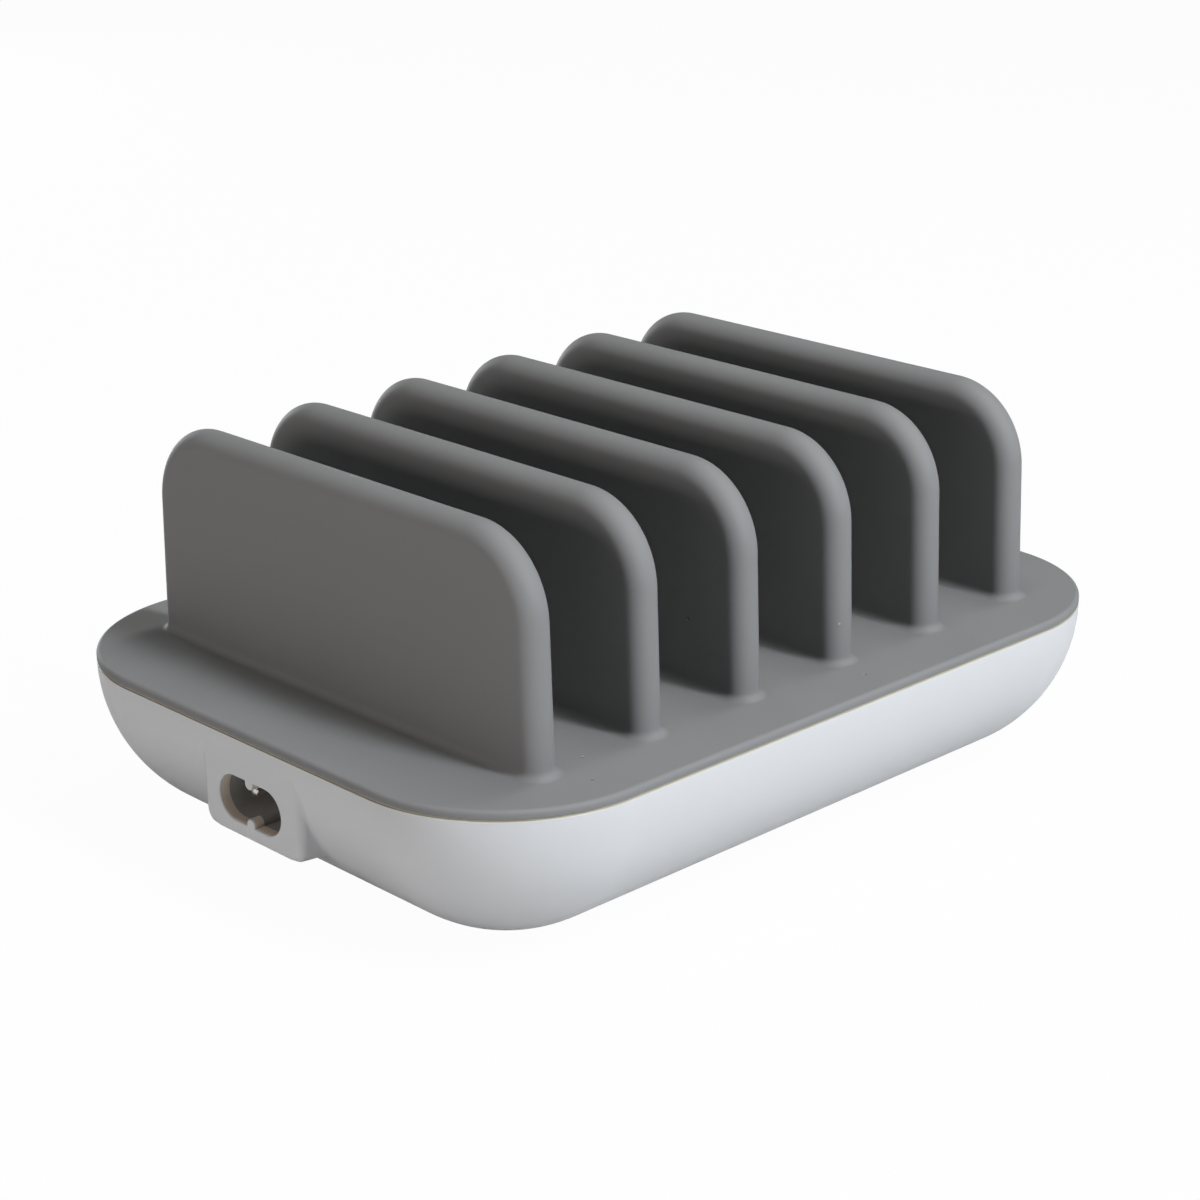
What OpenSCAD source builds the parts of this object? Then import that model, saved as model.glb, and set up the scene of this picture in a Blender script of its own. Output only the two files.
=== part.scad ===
// Charging station: a mains charger in a hull-shaped shell, with six upright fins that part five slots.
// Millimetres, +Z up. X runs along the row of fins. The inlet is on the -X side, the sockets on the +Y side.
// The origin is on the rest plane, under the middle of the body.

/* [Body] */
// Length of the body along the row of fins
body_l = 156; // [152:0.5:180]
// Width of the body from front to back
body_w = 118.6; // [117:0.2:140]
// Plan radius of the body's corners
corner_r = 27.8; // [26.6:0.1:32]
// Radius of the side wall's curve from the seam down
side_r = 28.5; // [28.2:0.1:31]
// Height of the lower shell from its flat bottom to the seam
shell_h = 26.5; // [26:0.1:27.2]
// Thickness of the shell's side wall
shell_wall = 2.2; // [1.8:0.1:2.4]
// Thickness of the shell's flat bottom
floor_t = 2.4; // [2:0.1:3]
// Open line between the shell and the cover
seam_gap = 0.25; // [0.1:0.05:0.5]

/* [Soft cover] */
// Height of the cover's side above the seam
cover_side = 1.45; // [1.4:0.05:2]
// Radius along the cover's top edge
cover_edge_r = 0.75; // [0.3:0.05:1]
// Thickness of the soft skin
skin_t = 1.2; // [0.8:0.1:1.3]
// Gap between the soft skin and the hard frame in it
skin_fit = 0.1; // [0.05:0.05:0.3]

/* [Fins] */
// Number of fins, one more than the slots
fin_count = 6; // [2:1:6]
// Distance from one fin to the next
fin_pitch = 22.5; // [18:0.5:25]
// Thickness of a fin
fin_t = 6; // [4.6:0.2:8]
// Length of a fin where it meets the plate
fin_l = 95.6; // [60:0.2:100]
// Height of a fin above the plate
fin_h = 37.8; // [20:0.2:60]
// Radius of a fin's top corners
fin_corner_r = 14.3; // [6:0.1:18]
// Angle by which a fin's ends lean in, in degrees
fin_lean = 1.8; // [0.5:0.1:4]
// Radius of the fillet round a fin's foot
fin_foot_r = 1.3; // [0.6:0.1:2.5]
// Distance from a fin's outermost edge to the hard core in it
core_inset = 1.8; // [1.6:0.1:3]

/* [Hard frame] */
// Thickness of the frame's plate
frame_t = 1.9; // [1.5:0.1:2.2]
// Gap between the frame's edge and the shell's rim
frame_fit = 0.3; // [0.2:0.05:0.5]
// Width of the ribs under the frame
frame_rib_t = 1.5; // [1:0.1:2.5]
// Depth of the ribs under the frame
frame_rib_h = 2; // [1:0.1:2.2]

/* [Feet and case screws] */
// Radius of a rubber foot
foot_r = 6; // [5:0.1:7]
// Height by which a foot stands proud of the bottom
foot_proud = 1.6; // [1:0.1:3]
// Depth of the recess that holds a foot
foot_sink = 1; // [0.6:0.1:1.4]
// Distance of the feet and screws from the body's ends, along X
foot_end = 28; // [27:0.5:33]
// Distance of the feet and screws from the body's sides, along Y
foot_side = 27.8; // [27.3:0.5:31.3]
// Outer radius of a screw tower in the shell
tower_r = 4.2; // [4:0.1:4.8]
// Height of a screw tower's top above the shell's underside
tower_h = 12.4; // [11:0.1:14]
// Radius of a case screw's shank
screw_r = 1.25; // [1:0.05:1.4]
// Length of a case screw under its head
screw_l = 14; // [12:0.5:16]

/* [Mains inlet] */
// Place of the inlet along Y
inlet_y = -1.15; // [-8:0.05:8]
// Height of the inlet's axis above the shell's underside
inlet_h = 15.9; // [15.6:0.1:16.4]
// Width of the inlet's recess
recess_w = 15.9; // [15.4:0.1:17]
// Height of the inlet's recess
recess_h = 7.7; // [7.4:0.1:8]
// Depth of the recess in the inlet's body
recess_d = 10; // [8:0.5:11]
// Distance between the two pins
pin_pitch = 8.6; // [8:0.1:9]
// Radius of a pin
pin_r = 1.2; // [1:0.05:1.3]
// Width of the boss round the inlet
boss_w = 22.6; // [22:0.2:30]
// Depth by which a boss's face lies under the side's outermost line
boss_sink = 0.15; // [0.1:0.05:0.5]
// Thickness of a boss's wall in front of what it holds
boss_wall = 2; // [1.6:0.1:2.2]

/* [Sockets] */
// Number of sockets, one for each slot
port_count = 5; // [1:1:5]
// Distance from one socket to the next
port_pitch = 20; // [17:0.5:20]
// Width of a socket's metal shell
port_w = 13.1; // [12.8:0.1:13.6]
// Height of a socket's metal shell
port_h = 5.7; // [5.5:0.1:6]
// Depth of a socket
port_d = 14; // [12:0.5:15]

/* [Boards] */
// Thickness of the circuit boards
board_t = 1.6; // [1.2:0.1:2]
// Height of the main board's underside above the shell's underside
board_h = 7.8; // [7.4:0.1:8.2]
// Gap between the main board's edge and the shell's wall
board_gap = 1.5; // [1:0.1:3]
// Distance of the board's screws from the body's ends, along X
post_end = 22; // [22:0.5:26]
// Distance of the board's screws from the body's sides, along Y
post_side = 41.3; // [39.3:0.5:43.3]
// Radius of the posts under the board
post_r = 3; // [2.6:0.1:3.4]
// Thickness of the insulation sheet
sheet_t = 0.4; // [0.2:0.1:0.6]

/* [Hidden] */
$fn = 72;

// Overlap that lets a cut run through a face
cut = 1;
// Clearance of a piece seated in another
seat = 0.1;
// Clearance round a screw or pin in its hole
hole_fit = 0.3;

// Levels from the rest plane up
base_z = foot_proud;
floor_z = base_z + floor_t;
seam_z = base_z + shell_h;
cover_z = seam_z + seam_gap;
plate_z = cover_z + cover_side;
frame_top_z = plate_z - skin_t - skin_fit;
ledge_z = frame_top_z - frame_t;
tower_z = base_z + tower_h;
inlet_z = base_z + inlet_h;
board_z = base_z + board_h;
board_top_z = board_z + board_t;
port_z = inlet_z;

// Insets from the body's outline
frame_inset = skin_t + skin_fit;
rim_t = frame_inset - frame_fit;

// Centres of the plan's corner arcs
arc_x = body_l / 2 - corner_r;
arc_y = body_w / 2 - corner_r;

// Feet and case screws, and the board's posts, from the middle
foot_x = body_l / 2 - foot_end;
foot_y = body_w / 2 - foot_side;
post_x = body_l / 2 - post_end;
post_y = body_w / 2 - post_side;

// Distance from the outline at the seam to the wall surface of a given inset, at level z
function wall_in(inset, z) = side_r - sqrt(pow(side_r - inset, 2) - pow(seam_z - z, 2));

// Screw details
screw_head_r = 2.8;
screw_head_h = 2;
screw_pocket_h = 3.4;
screw_seat_z = base_z + foot_sink + screw_pocket_h;
frame_tower_r = 3.5;
frame_tower_gap = 0.2;
board_screw_r = 0.95;
board_screw_l = 4;
board_screw_head_r = 2.3;
board_screw_head_h = 1.4;

// Feet, floor ribs, frame ribs and the fillet's edges
foot_edge_r = 0.6;
floor_rib_l = 90;
floor_rib_t = 1.2;
floor_rib_h = 2;
floor_rib_y = 12;
frame_rib_l = 74;
foot_root = 0.2;
foot_toe = 0.04;

// Round edges of the fins: step under the flat faces, root in the middle and overlap of neighbours
edge_step = 0.01;
edge_root = 1;
edge_lap = 0.3;

// Flat bosses in the curved sides
boss_rise = 10;
boss_bottom_z = base_z + boss_rise;
boss_corner_r = 2.8;
boss_depth = 12;
boss_draft = 11;
inlet_face_x = -(body_l / 2 - boss_sink);
port_face_y = body_w / 2 - boss_sink;

// Mains inlet
nose_wall = 0.9;
nose_w = recess_w + 2 * nose_wall;
nose_h = recess_h + 2 * nose_wall;
nose_front_x = inlet_face_x + boss_wall + seat;
nose_l = 6.8;
inlet_block_l = 11;
inlet_block_w = 20.4;
inlet_block_rise = 6;
inlet_block_top_z = inlet_z + inlet_block_rise;
inlet_back_x = nose_front_x + nose_l + inlet_block_l;
recess_floor_x = nose_front_x + recess_d;
waist_w = 2.1;
waist_h = 1.35;
pin_tip_gap = 1.6;
pin_shank_r = 0.9;
pin_leg_r = 0.6;
pin_leg_gap = 1;
pin_leg_x = inlet_back_x + pin_leg_gap;
pin_leg_h = 1;
pin_tip_r = 0.4;

// Sockets
port_wall = 0.3;
port_fit = 0.25;
port_sink = 0.5;
port_mouth_y = port_face_y - port_sink;
port_board_y = port_mouth_y - port_d;
port_board_h = 13;
port_board_margin = 3.5;
port_row_w = (port_count - 1) * port_pitch + port_w;
port_boss_margin = 4.5;
port_boss_w = port_row_w + 2 * port_boss_margin;
port_pocket_gap = 1.2;
port_pocket_h = port_h + 2 * port_pocket_gap;
tongue_back_l = 4;
tongue_w = 11.1;
tongue_t = 1.84;
tongue_z = -0.1;
tongue_sink = 1.6;
contact_w = 1;
contact_t = 0.2;
contact_x = [-3.5, -1, 1, 3.5];

// Sizes of the components on the main board
fuse_r = 2.6;
fuse_l = 20;
fuse_cap_l = 5;
fuse_cap_t = 0.3;
x_cap_size = [8, 17, 12];
varistor_r = 5;
varistor_t = 4;
choke_r = 8;
choke_hole_r = 4.6;
choke_h = 7;
wind_t = 1.1;
wind_angle = 130;
bridge_size = [15, 3.6, 10.5];
input_cap_r = 6.2;
input_cap_l = 25;
can_groove_z = 2.2;
can_groove_r = 0.5;
sink_fin_l = 4;
sink_t = 2;
sink_l = 32;
sink_h = 11.5;
sink_fins = 5;
sink_fin_t = 1.4;
switch_w = 10;
switch_h = 9;
switch_t = 4.4;
switch_leg_pitch = 2.54;
switch_leg_r = 0.45;
core_size = [26, 26, 8.6];
core_leg_t = 4.4;
core_pole = [9, 5.2];
bobbin_wall = 0.8;
bobbin_fit = 0.2;
bobbin_foot = 1.9;
bobbin_w = core_size.x - 2 * (core_leg_t + bobbin_fit);
bobbin_h = core_size.z + 2 * bobbin_foot;
bobbin_grow = 2 * (bobbin_wall + bobbin_fit);
y_cap_r = 4.4;
y_cap_t = 3.6;
output_cap_r = 4;
output_cap_h = 11.8;
output_cap_count = 4;
output_cap_pitch = 9.6;
output_choke_r = 5.6;
output_choke_hole_r = 2.8;
output_choke_h = 6;
link_size = [26, 2.5, 2.6];
chip_size = [5, 1.5, 4];

// Main row on the board, evenly spaced from the inlet's legs to the screws at the far end
wound_r = choke_r + wind_t;
sink_front = sink_t / 2 + sink_fin_l;
sink_back = sink_t / 2 + seat + switch_t;
row_l = x_cap_size.x + 2 * wound_r + 2 * (sink_front + sink_back) + core_size.x + 2 * output_cap_r;
row_start_x = pin_leg_x + pin_leg_r;
row_gap = (post_x - board_screw_head_r - row_start_x - row_l) / 7;
x_cap_x = row_start_x + row_gap + x_cap_size.x / 2;
choke_x = x_cap_x + x_cap_size.x / 2 + row_gap + wound_r;
primary_sink_x = choke_x + wound_r + row_gap + sink_front;
core_x = primary_sink_x + sink_back + row_gap + core_size.x / 2;
secondary_sink_x = core_x + core_size.x / 2 + row_gap + sink_back;
output_cap_x = secondary_sink_x + sink_front + row_gap + output_cap_r;

// Lines across the board: the fuse and the input capacitors keep their distance from the case screws
fuse_y = foot_y - 9.5;
input_cap_y = -foot_y - 4.5;
output_choke_y = 1.5 - foot_y;
y_cap_y = foot_y - 4.5;
core_y = 4;
primary_sink_y = 8;

// Disc and box capacitor, evenly spaced between the screw tower and the fuse
inlet_room = fuse_y - fuse_r + foot_y - tower_r;
inlet_gap = (inlet_room - 2 * varistor_r - x_cap_size.y) / 3;
varistor_y = tower_r - foot_y + inlet_gap + varistor_r;
x_cap_y = fuse_y - fuse_r - inlet_gap - x_cap_size.y / 2;

// Bridge and filter choke, evenly spaced between the input capacitors and the fuse
filter_room = fuse_y - fuse_r - input_cap_y - input_cap_r;
filter_gap = (filter_room - 2 * wound_r - bridge_size.y) / 3;
bridge_y = input_cap_y + input_cap_r + filter_gap + bridge_size.y / 2;
choke_y = fuse_y - fuse_r - filter_gap - wound_r;

// Places in plan of the components on the main board
fuse_at = [choke_x - 7, fuse_y];
x_cap_at = [x_cap_x, x_cap_y];
varistor_at = [x_cap_x, varistor_y];
choke_at = [choke_x, choke_y];
bridge_at = [choke_x, bridge_y];
input_cap_x = [-19, 9];
primary_sink_at = [primary_sink_x, primary_sink_y];
core_at = [core_x, core_y];
y_cap_at = [core_x, y_cap_y];
secondary_sink_at = [secondary_sink_x, core_y];
output_choke_at = [(input_cap_x[1] + input_cap_l / 2 + foot_x - tower_r) / 2, output_choke_y];

// Rounded rectangle in plan
module rounded_rect(l, w, r) {
  square([l - 2 * r, w], center = true);
  square([l, w - 2 * r], center = true);
  for (sx = [-1, 1], sy = [-1, 1])
    translate([sx * (l / 2 - r), sy * (w / 2 - r)]) circle(r = r);
}

// Straight-sided slab inside the body's outline
module slab(inset, z0, z1) {
  translate([0, 0, z0]) linear_extrude(z1 - z0)
    rounded_rect(body_l - 2 * inset, body_w - 2 * inset, corner_r - inset);
}

// Profile of the body's edge, measured outwards from the corner arcs' axes, carried round the outline
module around_body() {
  for (mx = [0, 1], my = [0, 1]) mirror([mx, 0, 0]) mirror([0, my, 0])
    translate([arc_x, arc_y, 0]) rotate_extrude(angle = 90) children();
  for (m = [0, 1]) mirror([m, 0, 0])
    translate([arc_x, arc_y, 0]) rotate([90, 0, 0]) linear_extrude(2 * arc_y) children();
  for (m = [0, 1]) mirror([0, m, 0])
    translate([-arc_x, arc_y, 0]) rotate([90, 0, 90]) linear_extrude(2 * arc_x) children();
}

// Profile of the curved side wall, inset from the outside
module side_profile(inset, z0, z1) {
  intersection() {
    translate([corner_r - side_r, seam_z]) circle(r = side_r - inset);
    translate([0, z0]) square([corner_r, z1 - z0]);
  }
}

// Hull-shaped solid inside the side wall
module hull_form(inset, z0, z1) {
  around_body() side_profile(inset, z0, z1);
  translate([-arc_x, -arc_y, z0]) cube([2 * arc_x, 2 * arc_y, z1 - z0]);
}

// Places of the four feet, which are also those of the case screws
module at_feet() {
  for (sx = [-1, 1], sy = [-1, 1]) translate([sx * foot_x, sy * foot_y, 0]) children();
}

// Places of the four board screws
module at_posts() {
  for (sx = [-1, 1], sy = [-1, 1]) translate([sx * post_x, sy * post_y, 0]) children();
}

// Middles of the sockets along X
module at_ports() {
  for (i = [0:port_count - 1]) translate([(i - (port_count - 1) / 2) * port_pitch, 0, 0]) children();
}

// Upright cylinder between two levels
module rod(r, z0, z1) {
  translate([0, 0, z0]) cylinder(h = z1 - z0, r = r);
}

// Block that gives a curved side a flat face: its face is at local x = 0 and looks to +x
module flat_boss(w) {
  intersection() {
    boss_flank(w);
    mirror([0, 1, 0]) boss_flank(w);
    translate([-boss_depth, -w, 0]) cube([boss_depth, 2 * w, seam_z]);
  }
}

// Long block with one of the boss's flanks, which flares towards the body and has a round lower edge
module boss_flank(w) {
  r = boss_corner_r;
  h = seam_z - boss_bottom_z;
  translate([0, w / 2, boss_bottom_z]) rotate([0, 0, -boss_draft]) along_x(-2 * boss_depth, w) {
    translate([-2 * w, r]) square([2 * w, h - r]);
    translate([-2 * w, 0]) square([2 * w - r, h]);
    translate([-r, r]) circle(r = r);
  }
}

// Figure-of-eight outline of the inlet's recess: a stadium with a waist rib above and below
module recess_outline() {
  difference() {
    stadium(recess_w, recess_h);
    for (s = [-1, 1]) translate([0, s * recess_h / 2]) {
      square([waist_w, 2 * waist_h - waist_w], center = true);
      translate([0, s * (waist_w / 2 - waist_h)]) circle(r = waist_w / 2);
    }
  }
}

// Stadium outline
module stadium(w, h) {
  square([w - h, h], center = true);
  for (s = [-1, 1]) translate([s * (w - h) / 2, 0]) circle(r = h / 2);
}

// Carries an outline along X from x0 to x1, with its own x along Y and its own y up
module along_x(x0, x1) {
  translate([x0, 0, 0]) rotate([90, 0, 90]) linear_extrude(x1 - x0) children();
}

// Ribs of the shell's floor, which carry the insulation sheet
module floor_ribs() {
  for (s = [-1, 1]) translate([-floor_rib_l / 2, s * floor_rib_y - floor_rib_t / 2, floor_z - cut])
    cube([floor_rib_l, floor_rib_t, floor_rib_h + cut]);
}

// Space that a foot and a case screw take up in the shell, from below
module foot_and_screw_hole() {
  rod(foot_r + hole_fit, base_z - cut, base_z + foot_sink);
  rod(screw_head_r + hole_fit, base_z, screw_seat_z);
  rod(screw_r + hole_fit, base_z, tower_z + cut);
}

// Pocket behind the inlet's opening, and the opening
module inlet_cuts() {
  translate([0, inlet_y, inlet_z]) {
    along_x(inlet_face_x - cut, nose_front_x) recess_outline();
    along_x(inlet_face_x + boss_wall, nose_front_x + nose_l) stadium(nose_w + 2 * seat, nose_h + 2 * seat);
  }
}

// Pocket behind the row of sockets, and the sockets' openings
module port_cuts() {
  pocket_w = port_row_w + 2 * boss_wall;
  translate([-pocket_w / 2, arc_y, port_z - port_pocket_h / 2])
    cube([pocket_w, port_face_y - boss_wall - arc_y, port_pocket_h]);
  at_ports() translate([0, port_face_y, port_z])
    cube([port_w + 2 * port_fit, 2 * boss_depth, port_h + 2 * port_fit], center = true);
}

// Lower shell: curved tub with a rim step, flat bosses, screw towers and posts
module lower_shell() color([0.86, 0.87, 0.88]) {
  difference() {
    union() {
      hull_form(0, base_z, seam_z);
      translate([inlet_face_x, inlet_y, 0]) mirror([1, 0, 0]) flat_boss(boss_w);
      translate([0, port_face_y, 0]) rotate([0, 0, 90]) flat_boss(port_boss_w);
    }
    difference() {
      hull_form(shell_wall, floor_z, seam_z);
      at_feet() rod(tower_r, base_z, tower_z);
      at_posts() rod(post_r, base_z, board_z);
      floor_ribs();
    }
    slab(rim_t, ledge_z, seam_z + cut);
    inlet_cuts();
    port_cuts();
    at_feet() foot_and_screw_hole();
    at_posts() rod(board_screw_r + seat / 2, board_z - board_screw_l - seat, board_z + cut);
  }
}

// Section of a fin's round edge: a half disc on the side away from the origin, with a root into the flat middle
module edge_section(r, root) {
  translate([-root, -r]) square([root, 2 * r]);
  intersection() {
    circle(r = r);
    translate([0, -r]) square([r, 2 * r]);
  }
}

// Place along Y of the top corner's arc centre, at a height above the plate
function fin_arc_y(h) = fin_l / 2 - (fin_corner_r + h * sin(fin_lean)) / cos(fin_lean);

// Place along Y of the axis of a fin's round end, at level z
function fin_edge_y(z) = fin_l / 2 - (fin_t / 2 + (z - plate_z) * sin(fin_lean)) / cos(fin_lean);

// Outline of a fin's side, inset from its outermost edge, from level z0 up, with its own x along Y
module fin_outline(inset, z0) {
  r = fin_corner_r - inset;
  cz = plate_z + fin_h - fin_corner_r;
  cy = fin_arc_y(fin_h - fin_corner_r);
  side = [cy + r * cos(fin_lean), cz + r * sin(fin_lean)];
  y0 = side.x + (side.y - z0) * tan(fin_lean);
  polygon([[-y0, z0], [y0, z0], side, [cy, cz + r], [-cy, cz + r], [-side.x, side.y]]);
  for (s = [-1, 1]) translate([s * cy, cz]) circle(r = r);
}

// One fin from level z0 up: a flat middle and round edges, which lie a hair's step below its faces
module fin(z0) {
  e = fin_t / 2;
  r = e - edge_step;
  reach = fin_corner_r - e;
  cz = plate_z + fin_h - fin_corner_r;
  cy = fin_arc_y(fin_h - fin_corner_r);
  along_x(-e, e) fin_outline(e - edge_step, z0);
  translate([0, -cy - edge_lap, cz + reach]) rotate([90, 0, 90]) rotate([0, 0, 90]) rotate([90, 0, 0])
    linear_extrude(2 * (cy + edge_lap)) edge_section(r, edge_root);
  for (m = [0, 1]) mirror([0, m, 0]) translate([0, cy, cz]) rotate([90, 0, 90]) rotate([0, 0, fin_lean]) {
    rotate_extrude(angle = 90 - fin_lean) translate([reach, 0]) edge_section(r - edge_step, 2 * edge_root);
    translate([reach, edge_lap, 0]) rotate([90, 0, 0])
      linear_extrude((cz + reach * sin(fin_lean) - z0) / cos(fin_lean) + edge_lap) edge_section(r, edge_root);
  }
}

// Places of the fins along X
module at_fins() {
  for (i = [0:fin_count - 1]) translate([(i - (fin_count - 1) / 2) * fin_pitch, 0, 0]) children();
}

// Concave section of the fillet at a fin's foot, from the fin's face outwards
module foot_section() {
  difference() {
    translate([-foot_root, 0]) square([fin_foot_r + foot_root, fin_foot_r]);
    translate([fin_foot_r, fin_foot_r]) circle(r = fin_foot_r - foot_toe);
  }
}

// Fillet all round a fin's foot
module fin_foot() {
  y0 = fin_edge_y(plate_z);
  translate([0, 0, plate_z]) for (m = [0, 1]) {
    mirror([m, 0, 0]) translate([fin_t / 2, y0, 0]) rotate([90, 0, 0]) linear_extrude(2 * y0) foot_section();
    mirror([0, m, 0]) translate([0, y0, 0]) rotate_extrude(angle = 180)
      translate([fin_t / 2, 0]) foot_section();
  }
}

// Flat core, or the hollow for it when there is no gap round it
module fin_core(gap, z0) {
  t = fin_t - 2 * (skin_t + gap);
  along_x(-t / 2, t / 2) fin_outline(core_inset + gap, z0);
}

// Soft cover: thin plate with a wrapped edge and six hollow fins
module silicone_cover() color([0.5, 0.51, 0.51]) {
  difference() {
    union() {
      around_body() {
        translate([0, cover_z]) square([corner_r, cover_side - cover_edge_r]);
        translate([0, cover_z]) square([corner_r - cover_edge_r, cover_side]);
        translate([corner_r - cover_edge_r, plate_z - cover_edge_r]) circle(r = cover_edge_r);
      }
      translate([-arc_x, -arc_y, cover_z]) cube([2 * arc_x, 2 * arc_y, cover_side]);
      at_fins() {
        fin(plate_z - skin_t / 2);
        fin_foot();
      }
    }
    slab(skin_t, cover_z - cut, plate_z - skin_t);
    at_fins() fin_core(0, plate_z - skin_t - cut);
  }
}

// Hard frame: plate on the shell's ledge, upright cores, a locating lip, ribs and screw towers
module top_frame() color([0.8, 0.77, 0.7]) {
  lip_inset = wall_in(shell_wall, ledge_z - frame_rib_h) + frame_fit;
  difference() {
    union() {
      slab(frame_inset, ledge_z, frame_top_z);
      at_fins() fin_core(skin_fit, frame_top_z - frame_t / 2);
      difference() {
        slab(lip_inset, ledge_z - frame_rib_h, ledge_z + frame_t / 2);
        slab(lip_inset + frame_rib_t, ledge_z - frame_rib_h - cut, ledge_z);
      }
      at_fins() translate([-frame_rib_t / 2, -frame_rib_l / 2, ledge_z - frame_rib_h])
        cube([frame_rib_t, frame_rib_l, frame_rib_h + frame_t / 2]);
      at_feet() rod(frame_tower_r, tower_z + frame_tower_gap, ledge_z + frame_t / 2);
    }
    at_feet() rod(screw_r + seat / 2, tower_z, screw_seat_z + screw_l + seat);
  }
}

// Four feet with a rounded lower edge
module rubber_feet() color([0.25, 0.25, 0.26]) {
  at_feet() rotate_extrude() {
    square([foot_r - foot_edge_r, base_z + foot_sink - seat]);
    translate([0, foot_edge_r]) square([foot_r, base_z + foot_sink - seat - foot_edge_r]);
    translate([foot_r - foot_edge_r, foot_edge_r]) circle(r = foot_edge_r);
  }
}

// Case screws, driven from below
module case_screws() color([0.7, 0.7, 0.72]) {
  at_feet() {
    rod(screw_head_r, screw_seat_z - screw_head_h, screw_seat_z);
    rod(screw_r, screw_seat_z - screw_head_h, screw_seat_z + screw_l);
  }
}

// Mains inlet's moulding: a nose in the shell's pocket and a block on the board
module inlet_body() color([0.16, 0.16, 0.17]) {
  translate([0, inlet_y, 0]) difference() {
    union() {
      translate([0, 0, inlet_z]) along_x(nose_front_x, nose_front_x + nose_l + seat) stadium(nose_w, nose_h);
      translate([nose_front_x + nose_l, -inlet_block_w / 2, board_top_z])
        cube([inlet_block_l, inlet_block_w, inlet_block_top_z - board_top_z]);
    }
    translate([0, 0, inlet_z]) {
      along_x(nose_front_x - cut, recess_floor_x) recess_outline();
      at_pins() along_x(recess_floor_x - cut, inlet_back_x + cut) circle(r = pin_shank_r + seat / 2);
    }
  }
}

// Places of the two pins across the inlet
module at_pins() {
  for (s = [-1, 1]) translate([0, s * pin_pitch / 2, 0]) children();
}

// Inlet pins: a free length in the recess, a shank through the block and a leg through the board
module inlet_pins() color([0.78, 0.77, 0.74]) {
  translate([0, inlet_y, 0]) at_pins() {
    translate([nose_front_x + pin_tip_gap, 0, inlet_z]) rotate([0, 90, 0]) {
      rod(pin_r - pin_tip_r, 0, pin_tip_r);
      rod(pin_r, pin_tip_r, recess_d - pin_tip_gap);
    }
    translate([0, 0, inlet_z]) along_x(recess_floor_x - seat, pin_leg_x + pin_shank_r) circle(r = pin_shank_r);
    translate([pin_leg_x, 0, 0]) rod(pin_leg_r, board_z - pin_leg_h, inlet_z);
  }
}

// Main board with clearance for the towers, the board screws and the inlet's legs
module main_board() color([0.16, 0.4, 0.24]) {
  difference() {
    slab(wall_in(shell_wall, board_z) + board_gap, board_z, board_top_z);
    at_feet() rod(tower_r + 2 * hole_fit, board_z - cut, board_top_z + cut);
    at_posts() rod(board_screw_r + hole_fit, board_z - cut, board_top_z + cut);
    translate([pin_leg_x, inlet_y, 0]) at_pins() rod(pin_leg_r + hole_fit, board_z - cut, board_top_z + cut);
  }
}

// Board screws
module board_screws() color([0.72, 0.72, 0.74]) {
  at_posts() {
    rod(board_screw_head_r, board_top_z, board_top_z + board_screw_head_h);
    rod(board_screw_r, board_z - board_screw_l, board_top_z + board_screw_head_h);
  }
}

// Insulation sheet on the floor's ribs
module insulation_sheet() color([0.93, 0.9, 0.78]) {
  z0 = floor_z + floor_rib_h;
  difference() {
    slab(wall_in(shell_wall, z0) + board_gap, z0, z0 + sheet_t);
    at_feet() rod(tower_r + hole_fit, z0 - cut, z0 + sheet_t + cut);
    at_posts() rod(post_r + hole_fit, z0 - cut, z0 + sheet_t + cut);
  }
}

// Places a component on the main board
module on_board(at) {
  translate([at.x, at.y, board_top_z]) children();
}

// Fuse: a glass tube between two metal caps
module fuse() color([0.82, 0.84, 0.84]) {
  on_board(fuse_at) translate([0, 0, fuse_r]) {
    along_x(-fuse_l / 2 + fuse_cap_l / 2, fuse_l / 2 - fuse_cap_l / 2) circle(r = fuse_r - fuse_cap_t);
    for (m = [0, 1]) mirror([m, 0, 0]) along_x(fuse_l / 2 - fuse_cap_l, fuse_l / 2) circle(r = fuse_r);
  }
}

// Line filter capacitor in a box
module x_capacitor() color([0.85, 0.75, 0.2]) {
  on_board(x_cap_at) linear_extrude(x_cap_size.z) square([x_cap_size.x, x_cap_size.y], center = true);
}

// Disc on its rim, with its axis along X
module standing_disc(r, t) {
  translate([0, 0, r]) along_x(-t / 2, t / 2) circle(r = r);
}

// Surge disc
module varistor() color([0.2, 0.35, 0.6]) {
  on_board(varistor_at) standing_disc(varistor_r, varistor_t);
}

// Section of a ring core, lifted off the board by its winding
module ring_section(r, hole_r, h, grow) {
  translate([hole_r - grow, wind_t - grow]) square([r - hole_r + 2 * grow, h + 2 * grow]);
}

// Two half windings round a ring core
module ring_winding(r, hole_r, h) {
  for (a = [0, 180]) rotate([0, 0, a + (180 - wind_angle) / 2]) rotate_extrude(angle = wind_angle)
    difference() {
      ring_section(r, hole_r, h, wind_t);
      ring_section(r, hole_r, h, seat);
    }
}

// Line filter's ring core
module choke_core() color([0.3, 0.3, 0.32]) {
  on_board(choke_at) rotate_extrude() ring_section(choke_r, choke_hole_r, choke_h, 0);
}

// Line filter's windings
module choke_winding() color([0.72, 0.42, 0.22]) {
  on_board(choke_at) ring_winding(choke_r, choke_hole_r, choke_h);
}

// Bridge rectifier with one bevelled corner
module bridge_rectifier() color([0.13, 0.13, 0.14]) {
  x = bridge_size.x / 2;
  top = bridge_size.z;
  bevel = bridge_size.y;
  on_board(bridge_at) translate([0, bridge_size.y / 2, 0]) rotate([90, 0, 0]) linear_extrude(bridge_size.y)
    polygon([[-x, 0], [x, 0], [x, top], [-x + bevel, top], [-x, top - bevel]]);
}

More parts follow.
